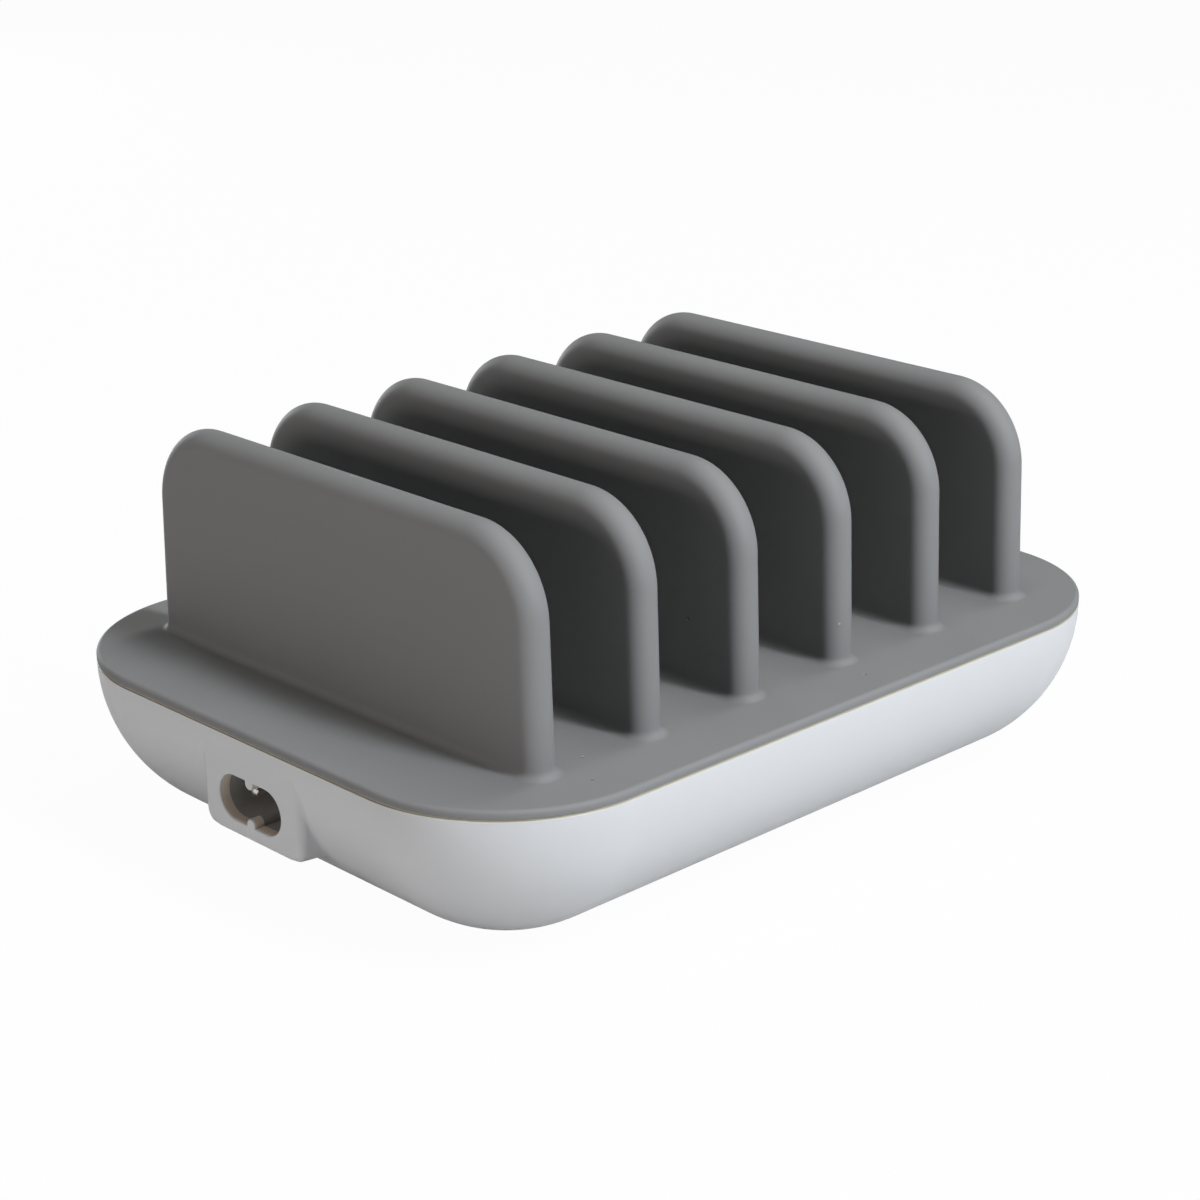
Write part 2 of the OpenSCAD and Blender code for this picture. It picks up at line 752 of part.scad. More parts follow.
// Capacitor can with the groove round its sealed end, standing up from z = 0
module capacitor_can(r, h) {
  difference() {
    rod(r, 0, h);
    translate([0, 0, can_groove_z]) rotate_extrude() translate([r, 0]) circle(r = can_groove_r);
  }
}

// Two smoothing capacitors lying on the board
module input_capacitors() color([0.15, 0.2, 0.35]) {
  for (x = input_cap_x) on_board([x - input_cap_l / 2, input_cap_y]) translate([0, 0, input_cap_r])
    rotate([0, 90, 0]) capacitor_can(input_cap_r, input_cap_l);
}

// Extruded heat sink: a plate in the YZ plane with fins on its +x side
module comb_sink() {
  translate([-sink_t / 2, -sink_l / 2, 0]) cube([sink_t, sink_l, sink_h]);
  for (i = [0:sink_fins - 1]) translate([0, -sink_l / 2 + i * (sink_l - sink_fin_t) / (sink_fins - 1), 0])
    cube([sink_t / 2 + sink_fin_l, sink_fin_t, sink_h]);
}

// Moulded transistor on three legs, with its flat back at x = 0 and its body on the +x side
module power_package() {
  leg_h = sink_h - switch_h;
  translate([0, -switch_w / 2, leg_h]) cube([switch_t, switch_w, switch_h]);
  for (i = [-1:1]) translate([switch_t / 2, i * switch_leg_pitch, 0])
    rod(switch_leg_r, 0, leg_h + switch_t / 2);
}

// Heat sink of the mains side
module primary_heat_sink() color([0.75, 0.76, 0.78]) {
  on_board(primary_sink_at) mirror([1, 0, 0]) comb_sink();
}

// Switching transistor, flat on its heat sink
module power_switch() color([0.12, 0.12, 0.13]) {
  on_board([primary_sink_at.x + sink_t / 2 + seat, primary_sink_at.y]) power_package();
}

// Heat sink of the output side
module secondary_heat_sink() color([0.75, 0.76, 0.78]) {
  on_board(secondary_sink_at) comb_sink();
}

// Output rectifier, flat on its heat sink
module output_rectifier() color([0.12, 0.12, 0.13]) {
  on_board([secondary_sink_at.x - sink_t / 2 - seat, secondary_sink_at.y]) mirror([1, 0, 0]) power_package();
}

// Places what belongs to the transformer on its axis, which runs along Y
module on_core_axis() {
  on_board(core_at) translate([0, 0, bobbin_h / 2]) children();
}

// Box centred on the origin
module block(size) {
  cube(size, center = true);
}

// Transformer core: a pair of E halves with a flat middle pole
module transformer_core() color([0.22, 0.22, 0.24]) {
  window_x = core_size.x - 2 * core_leg_t;
  window_y = core_size.y - 2 * core_leg_t;
  on_core_axis() {
    difference() {
      block(core_size);
      block([window_x, window_y, core_size.z + 2 * cut]);
    }
    block([core_pole.x, window_y + cut, core_pole.y]);
  }
}

// Bobbin: a tube round the middle pole between two flanges that stand on the board
module transformer_bobbin() color([0.14, 0.14, 0.15]) {
  flange_y = (core_size.y / 2 - core_leg_t) - bobbin_wall - bobbin_fit;
  on_core_axis() difference() {
    union() {
      block([core_pole.x + bobbin_grow, 2 * flange_y + bobbin_wall, core_pole.y + bobbin_grow]);
      for (s = [-1, 1]) translate([0, s * (flange_y + bobbin_wall / 2), 0])
        block([bobbin_w, bobbin_wall, bobbin_h]);
    }
    block([core_pole.x + 2 * bobbin_fit, core_size.y, core_pole.y + 2 * bobbin_fit]);
  }
}

// Winding under its tape, between the bobbin's flanges
module transformer_winding() color([0.9, 0.78, 0.3]) {
  wound_y = core_size.y - 2 * (core_leg_t + bobbin_wall + bobbin_fit) - 2 * seat;
  on_core_axis() difference() {
    block([bobbin_w - 2 * seat, wound_y, bobbin_h - 2 * bobbin_wall]);
    block([core_pole.x + bobbin_grow + 2 * seat, wound_y + cut, core_pole.y + bobbin_grow + 2 * seat]);
  }
}

// Disc capacitor across the barrier
module y_capacitor() color([0.25, 0.45, 0.75]) {
  on_board(y_cap_at) rotate([0, 0, 90]) standing_disc(y_cap_r, y_cap_t);
}

// Row of upright output capacitors
module output_capacitors() color([0.2, 0.2, 0.22]) {
  for (i = [0:output_cap_count - 1])
    on_board([output_cap_x, secondary_sink_at.y + (i - (output_cap_count - 1) / 2) * output_cap_pitch])
      capacitor_can(output_cap_r, output_cap_h);
}

// Output filter's ring core
module output_choke_core() color([0.75, 0.75, 0.3]) {
  on_board(output_choke_at) rotate_extrude()
    ring_section(output_choke_r, output_choke_hole_r, output_choke_h, 0);
}

// Output filter's windings
module output_choke_winding() color([0.72, 0.42, 0.22]) {
  on_board(output_choke_at) ring_winding(output_choke_r, output_choke_hole_r, output_choke_h);
}

// Upright board behind the sockets
module port_board() color([0.16, 0.4, 0.24]) {
  w = port_row_w + 2 * port_board_margin;
  translate([-w / 2, port_board_y - board_t, board_top_z]) cube([w, board_t, port_board_h]);
}

// Pin strip that joins the two boards
module board_link() color([0.1, 0.1, 0.11]) {
  translate([-link_size.x / 2, port_board_y - board_t - link_size.y, board_top_z]) cube(link_size);
}

// Charging controllers on the inner face of the port board
module control_chips() color([0.1, 0.1, 0.11]) {
  at_ports() translate([-chip_size.x / 2, port_board_y - board_t - chip_size.y, port_z - chip_size.z / 2])
    cube(chip_size);
}

// Metal shells of the sockets, open to the rear side
module socket_shells() color([0.76, 0.77, 0.78]) {
  at_ports() translate([0, port_board_y, port_z]) difference() {
    translate([-port_w / 2, 0, -port_h / 2]) cube([port_w, port_d, port_h]);
    translate([-port_w / 2 + port_wall, -cut, -port_h / 2 + port_wall])
      cube([port_w - 2 * port_wall, port_d + 2 * cut, port_h - 2 * port_wall]);
  }
}

// Insulators of the sockets: a back block and a tongue
module socket_tongues() color([0.93, 0.93, 0.92]) {
  back_w = port_w - 2 * port_wall - seat;
  back_h = port_h - 2 * port_wall - seat;
  at_ports() translate([0, port_board_y, port_z]) {
    translate([-back_w / 2, 0, -back_h / 2]) cube([back_w, tongue_back_l, back_h]);
    translate([-tongue_w / 2, 0, tongue_z]) cube([tongue_w, port_d - tongue_sink, tongue_t]);
  }
}

// Contact strips on the lower face of each tongue
module socket_contacts() color([0.85, 0.72, 0.35]) {
  at_ports() for (x = contact_x)
    translate([x - contact_w / 2, port_board_y + tongue_back_l, port_z + tongue_z - contact_t])
      cube([contact_w, port_d - tongue_sink - tongue_back_l - contact_w, contact_t]);
}

lower_shell();
silicone_cover();
top_frame();
rubber_feet();
case_screws();
inlet_body();
inlet_pins();
main_board();
board_screws();
insulation_sheet();
fuse();
x_capacitor();
varistor();
choke_core();
choke_winding();
bridge_rectifier();
input_capacitors();
primary_heat_sink();
power_switch();
transformer_core();
transformer_bobbin();
transformer_winding();
y_capacitor();
secondary_heat_sink();
output_rectifier();
output_capacitors();
output_choke_core();
output_choke_winding();
port_board();
board_link();
control_chips();
socket_shells();
socket_tongues();
socket_contacts();
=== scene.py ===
"""Charging station: looks of the soft cover, the shell, the inlet, the sockets and the feet."""
import math

import bmesh
import bpy
import numpy as np
from mathutils import Matrix, Vector
from mathutils.geometry import delaunay_2d_cdt


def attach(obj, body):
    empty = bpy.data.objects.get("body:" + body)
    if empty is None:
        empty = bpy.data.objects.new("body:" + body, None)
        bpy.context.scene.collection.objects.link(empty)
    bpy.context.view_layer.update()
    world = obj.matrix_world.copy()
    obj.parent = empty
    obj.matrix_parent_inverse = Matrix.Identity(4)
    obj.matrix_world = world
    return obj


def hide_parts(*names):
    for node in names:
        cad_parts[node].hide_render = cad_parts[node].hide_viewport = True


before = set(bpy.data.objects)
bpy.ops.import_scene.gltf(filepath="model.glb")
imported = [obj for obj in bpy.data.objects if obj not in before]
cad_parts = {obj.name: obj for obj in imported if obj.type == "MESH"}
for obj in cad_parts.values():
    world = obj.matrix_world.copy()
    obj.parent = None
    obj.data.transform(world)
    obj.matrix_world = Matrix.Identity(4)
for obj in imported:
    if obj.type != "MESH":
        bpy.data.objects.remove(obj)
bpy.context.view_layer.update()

# Sizes are in millimetres, as in the part's source. Meshes and finishes are made in metres
MM = 0.001

# Body
CORNER_R = 27.8
SIDE_R = 28.5
ARC_X = 50.2
ARC_Y = 31.5
BASE_Z = 1.6
FLOOR_Z = 4.0
SEAM_Z = 28.1
LEDGE_Z = 26.6
SHELL_WALL = 2.2
RIM_T = 1.0
BOTTOM_ROUND = 0.8

# Seam: a rounded rim, a step inside it that closes the view into the gap, and a darker tan line
# painted on the shell under the rim, which is painted shade of the gap
RIM_ROUND = 0.15
STEP_INSET = 0.3
STEP_Z = 28.33
# Levels where the painted shade of the seam gap starts and where it is full, on the shell under the
# rim
SEAM_SHADE_LOW_Z = 27.98
SEAM_SHADE_FULL_Z = 28.08

# Flat bosses in the sides
BOSS_CORNER_R = 2.8
BOSS_EDGE_R = 1.3
BOSS_BLEND_R = 0.6
BOSS_BLEND_TOP_Z = 24.0
BOSS_BLEND_FADE = 2.0
LEAST_BLEND = 0.001
BOSS_DRAFT = math.radians(11)
BOSS_DEPTH = 12.0
BOSS_WALL = 2.0
INLET_FACE_X = -77.85
INLET_Y = -1.15
INLET_BOSS_Y = -1.5
INLET_BOSS_W = 25.0
INLET_BOSS_BOTTOM_Z = 10.8
PORT_FACE_Y = 59.15
PORT_BOSS_W = 102.1
PORT_BOSS_BOTTOM_Z = 11.6

# Soft cover
COVER_Z = 28.35
PLATE_Z = 29.8
COVER_EDGE_R = 0.75
SKIN_T = 1.2
FIN_COUNT = 6
FIN_PITCH = 22.5
FIN_T = 6.0
FIN_L = 95.6
FIN_H = 37.8
FIN_CORNER_R = 14.3
FIN_LEAN = math.radians(1.8)
FIN_FOOT_R = 1.3
CORE_INSET = 1.8

# Inlet
INLET_Z = 17.5
RECESS_W = 15.9
RECESS_H = 7.7
WAIST_W = 2.1
WAIST_H = 1.35
NOSE_W = 17.7
NOSE_H = 9.5
NOSE_PLAY = 0.2
NOSE_POCKET_X = -68.95
RECESS_FLOOR_X = -65.75

# Inlet pins: a length in the recess, a thinner shank behind it and a leg through the board
PIN_PITCH = 8.6
PIN_R = 1.2
PIN_TIP_X = -74.15
PIN_DOME_L = 0.6
PIN_L = 18.1
SHANK_R = 0.9
LEG_R = 0.6
LEG_X = -56.95
LEG_LOW_Z = 8.4
LEG_TOP_Z = 16.8

# Sockets
PORT_COUNT = 5
PORT_PITCH = 20.0
PORT_Z = 17.5
PORT_MOUTH_Y = 58.65
PORT_BACK_Y = 44.65
PORT_W = 13.1
PORT_H = 5.7
PORT_WALL = 0.3
PORT_CORNER_R = 0.5
PORT_INNER_CORNER_R = 0.25
PORT_OPENING = (13.6, 6.2)
PORT_OPENING_CORNER_R = 0.5
PORT_POCKET = (97.1, 8.1)

# Bevels of a socket shell's lip: their length, and their depths outside, inside and at the corners
LIP_BEVEL_L = 0.15
LIP_BEVEL_OUT = 0.08
LIP_BEVEL_IN = 0.06
LIP_BEVEL_CORNER = 0.05

# Insulator and contacts of a socket, up and across from its middle
TONGUE_BACK_HALF_W = 6.2
TONGUE_BACK_HALF_H = 2.5
TONGUE_BACK_L = 4.0
TONGUE_BACK_BEVEL = 0.1
TONGUE_HALF_W = 5.55
TONGUE_LOW = -0.1
TONGUE_TOP = 1.74
TONGUE_FRONT_Y = 57.05
TONGUE_ROOT = 0.1
TONGUE_BEVEL = 0.25
CONTACT_X = (-3.5, -1.0, 1.0, 3.5)
CONTACT_HALF_W = 0.5
CONTACT_LOW = -0.3
CONTACT_FRONT_Y = 56.05
CONTACT_BEVEL = 0.06

# Stands on the shell's floor, with their roots inside it
STAND_ROOT_Z = 3.0
TOWER_R = 4.2
TOWER_TOP_Z = 14.0
POST_AT = (56.0, 18.0)
POST_R = 3.0
POST_TOP_Z = 9.4
POST_BORE_R = 1.0
POST_BORE_LOW_Z = 5.3
FLOOR_RIB_L = 90.0
FLOOR_RIB_T = 1.2
FLOOR_RIB_Y = 12.0
FLOOR_RIB_TOP_Z = 6.0

# Feet, and the recesses for them and the case screws
FOOT_AT = (50.0, 31.5)
FOOT_R = 6.0
FOOT_TOP_Z = 2.5
FOOT_BEVEL = 0.1
FOOT_EDGE_R = 0.6
GRIP_RINGS = (4.6, 3.4, 2.2)
GRIP_HALF_W = 0.3
GRIP_FLOOR_HALF_W = 0.15
GRIP_DEPTH = 0.2
RECESS_CUT_LOW_Z = 0.5
FOOT_RECESS_R = 6.3
FOOT_RECESS_TOP_Z = 2.6
SCREW_POCKET_R = 3.1
SCREW_POCKET_TOP_Z = 6.0
SCREW_BORE_R = 1.55

# Cutters reach this far past the surfaces they open
CUT_REACH = 1.0
WIDE_CUT_REACH = 2.0
INLET_CUT_REACH = 0.5

# Rounding of the lips of the shell's openings
LIP_R = 0.3

# A ring of points this far inside a flat face keeps its shading flat
LOCK = 0.2

# Steps of rounded forms
ROUND_STEPS = 20
CORNER_STEPS = 30
FOOT_STEPS = 7
CORE_STEPS = 12
BODY_STEPS = 32
RIM_STEPS = 3
PLATE_EDGE_STEPS = 8
RIM_ROUND_STEPS = 4
INSIDE_STEPS = 20
INSIDE_SLOPE_STEPS = 18
LINE_STEPS = 24
WAIST_STEPS = 12
OPENING_STEPS = 6
SOCKET_STEPS = 4
LIP_STEPS = 5
DOME_STEPS = 8
FOOT_EDGE_STEPS = 6
STAND_SIDES = 40
PIN_SIDES = 32
LEG_SIDES = 20
FOOT_SIDES = 56

# Spacing of the points round the shell: steps in millimetres and degrees, finer at the bosses' flanks
LEFT_STEP = 1.8
STRAIGHT_STEP = 8.0
TURN_STEP = 3.5
FLANK_INSIDE = 1.6
FLANK_OUTSIDE = 1.8
FLANK_STEP = 0.17
PORT_FLANK_L = 1.6
PORT_FLANK_STEP = 0.2
PORT_FLANK_ANGLE = 84.0
PORT_FLANK_TURN_STEP = 0.35

# Slopes of the shell's side, in degrees, finer at the bosses' lower edges and at the bottom's edge
SLOPE_END = 76.0
SLOPE_STEP = 1.5
FINE_SLOPES = ((22.0, 42.0), (66.0, 71.0))
FINE_SLOPE_STEP = 0.5


def turned(angle, steps):
    """Angles from 0 to the given one in even steps."""
    return [angle * k / steps for k in range(steps + 1)]


def graded(start, end, step, windows=(), fine=None):
    """Values from start to end a step apart, or a fine step apart inside the windows."""
    marks = {start, end}
    for window in windows:
        marks.update(min(max(mark, start), end) for mark in window)
    marks = sorted(marks)
    values = []
    for low, high in zip(marks, marks[1:]):
        middle = (low + high) / 2
        inside = any(window[0] <= middle <= window[1] for window in windows)
        count = max(1, math.ceil((high - low) / (fine if inside else step)))
        values += [low + (high - low) * k / count for k in range(count)]
    return values + [end]


class Shape:
    """Points in millimetres, in rows, and the faces between the rows."""

    def __init__(self):
        self.points = []
        self.faces = []

    def row(self, points):
        first = len(self.points)
        self.points += [tuple(float(c) for c in p) for p in points]
        return list(range(first, len(self.points)))

    def strip(self, a, b, closed=True):
        """Faces between two rows of the same length."""
        count = len(a)
        for i in range(count if closed else count - 1):
            j = (i + 1) % count
            self.faces.append((a[i], b[i], b[j], a[j]))

    def walls(self, rows, closed=True):
        for a, b in zip(rows, rows[1:]):
            self.strip(a, b, closed)

    def cap(self, row, flip=False):
        self.faces.append(tuple(reversed(row)) if flip else tuple(row))

    def sheet(self, outer, holes, upward):
        """Level face inside a line without dents, round holes without dents."""
        loops = [outer] + list(holes)
        index = []
        owner = []
        edges = []
        for number, loop in enumerate(loops):
            first = len(index)
            edges += [(first + k, first + (k + 1) % len(loop)) for k in range(len(loop))]
            index += loop
            owner += [number] * len(loop)
        flat = [Vector(self.points[i][:2]) for i in index]
        for face in delaunay_2d_cdt(flat, edges, [], 0, 1e-6)[2]:
            if len({owner[k] for k in face}) > 1:
                corners = [index[k] for k in face]
                self.faces.append(tuple(corners if upward else reversed(corners)))

    def lathe(self, section, at, sides, axis="Z"):
        """Turns (radius, height) points round an axis, with poles where the radius is 0."""
        rows = []
        for radius, height in section:
            count = sides if radius else 1
            angles = [2 * math.pi * k / count for k in range(count)]
            rows.append(self.row([spin_point(radius, height, a, at, axis) for a in angles]))
        for a, b in zip(rows, rows[1:]):
            if len(a) == 1:
                self.faces += [(a[0], b[k], b[(k + 1) % sides]) for k in range(sides)]
            elif len(b) == 1:
                self.faces += [(a[k], b[0], a[(k + 1) % sides]) for k in range(sides)]
            else:
                self.strip(a, b)

    def object(self, name):
        mesh = bpy.data.meshes.new(name)
        mesh.from_pydata([Vector(p) * MM for p in self.points], [], self.faces)
        mesh.update()
        mesh.polygons.foreach_set("use_smooth", [True] * len(mesh.polygons))
        face_out(mesh)
        return link(bpy.data.objects.new(name, mesh))


def tube(lines):
    """Closed form through lines of points, with a face on the first and one on the last."""
    shape = Shape()
    rows = [shape.row(line) for line in lines]
    shape.walls(rows)
    shape.cap(rows[0])
    shape.cap(rows[-1], flip=True)
    return shape


def face_out(mesh):
    """Turns the faces of closed forms outwards."""
    shape = bmesh.new()
    shape.from_mesh(mesh)
    bmesh.ops.recalc_face_normals(shape, faces=shape.faces)
    shape.to_mesh(mesh)
    shape.free()


def spin_point(radius, height, angle, at, axis):
    """Point at a radius, height and angle round an axis through at."""
    c, s = radius * math.cos(angle), radius * math.sin(angle)
    if axis == "X":
        return (at[0] + height, at[1] + c, at[2] + s)
    return (at[0] + c, at[1] + s, at[2] + height)


def link(obj):
    bpy.context.scene.collection.objects.link(obj)
    return obj


def points_host(name, places=()):
    """Object with a point at each place."""
    mesh = bpy.data.meshes.new(name)
    mesh.from_pydata([Vector(p) * MM for p in places], [], [])
    return link(bpy.data.objects.new(name, mesh))


def work_in(obj, name):
    """Gives the object the given name and the mesh that its modifiers make."""
    graph = bpy.context.evaluated_depsgraph_get()
    mesh = bpy.data.meshes.new_from_object(obj.evaluated_get(graph), depsgraph=graph)
    obj.modifiers.clear()
    obj.data = mesh
    obj.name = mesh.name = name


def drop(*objects):
    for obj in objects:
        bpy.data.objects.remove(obj)


# ---- node trees


class Tree:
    """A node tree, with short ways to add to it."""

    def __init__(self, tree):
        self.tree = tree

    def socket(self, name, kind, output=False, value=None):
        side = "OUTPUT" if output else "INPUT"
        made = self.tree.interface.new_socket(name=name, in_out=side, socket_type=kind)
        if value is not None:
            made.default_value = value
        return made

    def node(self, kind, inputs=None, **settings):
        made = self.tree.nodes.new(kind)
        for key, value in settings.items():
            setattr(made, key, value)
        for key, value in (inputs or {}).items():
            self.feed(made.inputs[key], value)
        return made

    def feed(self, socket, value):
        if isinstance(value, bpy.types.NodeSocket):
            self.tree.links.new(value, socket)
        else:
            socket.default_value = value

    def math(self, operation, a, b):
        return self.node("ShaderNodeMath", {0: a, 1: b}, operation=operation).outputs[0]


def copies_tree(name, on_points):
    """Geometry tree that repeats a template on its host's points, or along X beside its host."""
    tree = Tree(bpy.data.node_groups.new(name, "GeometryNodeTree"))
    tree.socket("Geometry", "NodeSocketGeometry")
    tree.socket("Template", "NodeSocketObject")
    tree.socket("Finish", "NodeSocketMaterial")
    if not on_points:
        tree.socket("Count", "NodeSocketInt", value=2)
        tree.socket("Pitch", "NodeSocketFloat", value=0.01)
    tree.socket("Weld", "NodeSocketFloat", value=1e-6)
    tree.socket("Geometry", "NodeSocketGeometry", output=True)
    into = tree.node("NodeGroupInput").outputs
    template = tree.node("GeometryNodeObjectInfo", {"Object": into["Template"]}).outputs["Geometry"]
    if on_points:
        places = tree.node("GeometryNodeMeshToPoints", {"Mesh": into["Geometry"]}).outputs[0]
    else:
        gaps = tree.math("SUBTRACT", into["Count"], 1.0)
        half = tree.math("MULTIPLY", tree.math("MULTIPLY", gaps, into["Pitch"]), -0.5)
        start = tree.node("ShaderNodeCombineXYZ", {"X": half}).outputs[0]
        step = tree.node("ShaderNodeCombineXYZ", {"X": into["Pitch"]}).outputs[0]
        line = {"Count": into["Count"], "Start Location": start, "Offset": step}
        places = tree.node("GeometryNodeMeshLine", line).outputs[0]
    stamped = {"Points": places, "Instance": template}
    copies = tree.node("GeometryNodeInstanceOnPoints", stamped).outputs[0]
    real = tree.node("GeometryNodeRealizeInstances", {"Geometry": copies}).outputs[0]
    if not on_points:
        both = tree.node("GeometryNodeJoinGeometry")
        tree.tree.links.new(real, both.inputs[0])
        tree.tree.links.new(into["Geometry"], both.inputs[0])
        real = both.outputs[0]
    weld = {"Geometry": real, "Distance": into["Weld"]}
    welded = tree.node("GeometryNodeMergeByDistance", weld).outputs[0]
    coated = {"Geometry": welded, "Material": into["Finish"]}
    last = tree.node("GeometryNodeSetMaterial", coated).outputs[0]
    tree.node("NodeGroupOutput", {0: last})
    return tree.tree


def repeat(tree, host, template, finish, name, **sizes):
    """Runs a copies tree on host and returns the piece as a plain mesh."""
    modifier = host.modifiers.new("copies", "NODES")
    modifier.node_group = tree
    values = {"Template": template, "Finish": finish, **sizes}
    for item in tree.interface.items_tree:
        if item.in_out == "INPUT" and item.name in values:
            modifier[item.identifier] = values[item.name]
    work_in(host, name)
    face_out(host.data)
    drop(template)
    return host


# ---- materials


# Scale of the slow change of tone, as a part of the grain's
BROAD_RATIO = 0.013

# Change of roughness with the slow tone
SHINE_CHANGE = 0.3

# Colours of the cover and the shell, of the painted shade of the seam gap, and of the painted warm
# light on the inlet opening's wall
COVER_COLOUR = (0.187, 0.186, 0.184)
SHELL_COLOUR = (0.556, 0.559, 0.566)
SEAM_SHADE_COLOUR = (0.51, 0.465, 0.355, 1)
WARM_LIGHT_COLOUR = (0.79, 0.68, 0.565, 1)

# Specks of dust: the share of cells that hold one, its radius and its colour, and the cells' size
COVER_SPECKS = ((0.1, 0.0002, (0.35, 0.35, 0.33, 1)), (0.07, 0.00023, (0.08, 0.08, 0.08, 1)))
SPECK_SPACING = 0.0045

# Box round the wall of the inlet's opening, which gets a brighter, warmer colour than the shell:
# painted warm light in its shade
WARM_LIGHT_MIDDLE = 2.4
WARM_LIGHT_HALF_L = 2.05
WARM_LIGHT_MARGIN = 0.2


def grain_group():
    """Fine moulded grain: a height and a tone that vary over the surface."""
    tree = Tree(bpy.data.node_groups.new("fine_grain", "ShaderNodeTree"))
    tree.socket("Vector", "NodeSocketVector")
    tree.socket("Size", "NodeSocketFloat", value=0.0004)
    tree.socket("Softness", "NodeSocketFloat", value=0.5)
    tree.socket("Height", "NodeSocketFloat", output=True)
    tree.socket("Tone", "NodeSocketFloat", output=True)
    into = tree.node("NodeGroupInput").outputs
    scale = tree.math("DIVIDE", 1.0, into["Size"])
    grain = {"Vector": into["Vector"], "Scale": scale, "Detail": 2.0}
    fine = tree.node("ShaderNodeTexNoise", grain)
    slow = tree.math("MULTIPLY", scale, BROAD_RATIO)
    tone = {"Vector": into["Vector"], "Scale": slow, "Detail": 3.0}
    broad = tree.node("ShaderNodeTexNoise", tone)
    height = tree.math("MULTIPLY", fine.outputs["Fac"], into["Softness"])
    tree.node("NodeGroupOutput", {"Height": height, "Tone": broad.outputs["Fac"]})
    return tree.tree


def speck_group():
    """Sparse dust specks: a mask that is 1 in a speck."""
    tree = Tree(bpy.data.node_groups.new("dust_specks", "ShaderNodeTree"))
    tree.socket("Vector", "NodeSocketVector")
    tree.socket("Spacing", "NodeSocketFloat", value=0.004)
    tree.socket("Share", "NodeSocketFloat", value=0.1)
    tree.socket("Size", "NodeSocketFloat", value=0.0002)
    tree.socket("Mask", "NodeSocketFloat", output=True)
    into = tree.node("NodeGroupInput").outputs
    scale = tree.math("DIVIDE", 1.0, into["Spacing"])
    cells = tree.node("ShaderNodeTexVoronoi", {"Vector": into["Vector"], "Scale": scale})
    lot = tree.node("ShaderNodeSeparateColor", {"Color": cells.outputs["Color"]}).outputs[0]
    chosen = tree.math("LESS_THAN", lot, into["Share"])
    reach = tree.math("MULTIPLY", cells.outputs["Distance"], into["Spacing"])
    near = tree.math("LESS_THAN", reach, into["Size"])
    tree.node("NodeGroupOutput", {"Mask": tree.math("MULTIPLY", chosen, near)})
    return tree.tree


GRAIN = grain_group()
SPECKS = speck_group()


def finish(name, colour, roughness, grain, depth, variation, metallic=0.0, **constants):
    """Material with a fine grain in its surface and a slow change of tone and gloss over it."""
    material = bpy.data.materials.new(name)
    material.use_nodes = True
    tree = Tree(material.node_tree)
    shader = tree.tree.nodes["Principled BSDF"]
    place = tree.node("ShaderNodeTexCoord").outputs["Object"]
    surface = tree.node("ShaderNodeGroup", {"Vector": place, "Size": grain}, node_tree=GRAIN)
    tone = tree.math("SUBTRACT", surface.outputs["Tone"], 0.5)
    gain = tree.math("MULTIPLY_ADD", tone, 2 * variation)
    gain.node.inputs[2].default_value = 1.0
    scaled = {0: tuple(colour), "Scale": gain}
    tinted = tree.node("ShaderNodeVectorMath", scaled, operation="SCALE").outputs[0]
    tree.feed(shader.inputs["Base Color"], tinted)
    shine = tree.math("MULTIPLY_ADD", tone, SHINE_CHANGE)
    shine.node.inputs[2].default_value = roughness
    tree.feed(shader.inputs["Roughness"], shine)
    relief = {"Height": surface.outputs["Height"], "Distance": depth, "Strength": 1.0}
    bump = tree.node("ShaderNodeBump", relief)
    tree.feed(shader.inputs["Normal"], bump.outputs["Normal"])
    shader.inputs["Metallic"].default_value = metallic
    for key, value in constants.items():
        shader.inputs[key.replace("_", " ")].default_value = value
    return material, tree, shader, place, tinted


def cover_finish():
    """Matt soft-touch silicone, mid grey, with a few specks of dust."""
    material, tree, shader, place, tinted = finish(
        "soft_silicone", COVER_COLOUR, roughness=0.7, grain=0.00035, depth=0.00003,
        variation=0.05, Specular_IOR_Level=0.4)
    colour = tinted
    for share, size, speck in COVER_SPECKS:
        spread = {"Vector": place, "Spacing": SPECK_SPACING + size, "Share": share, "Size": size}
        dust = tree.node("ShaderNodeGroup", spread, node_tree=SPECKS)
        colour = blended(tree, dust.outputs["Mask"], colour, speck)
    tree.feed(shader.inputs["Base Color"], colour)
    return material


def blended(tree, share, base, other):
    """The base colour, turned into the other one where the share is 1."""
    mix = tree.node("ShaderNodeMix", {"Factor": share, 6: base, 7: other}, data_type="RGBA")
    return mix.outputs[2]


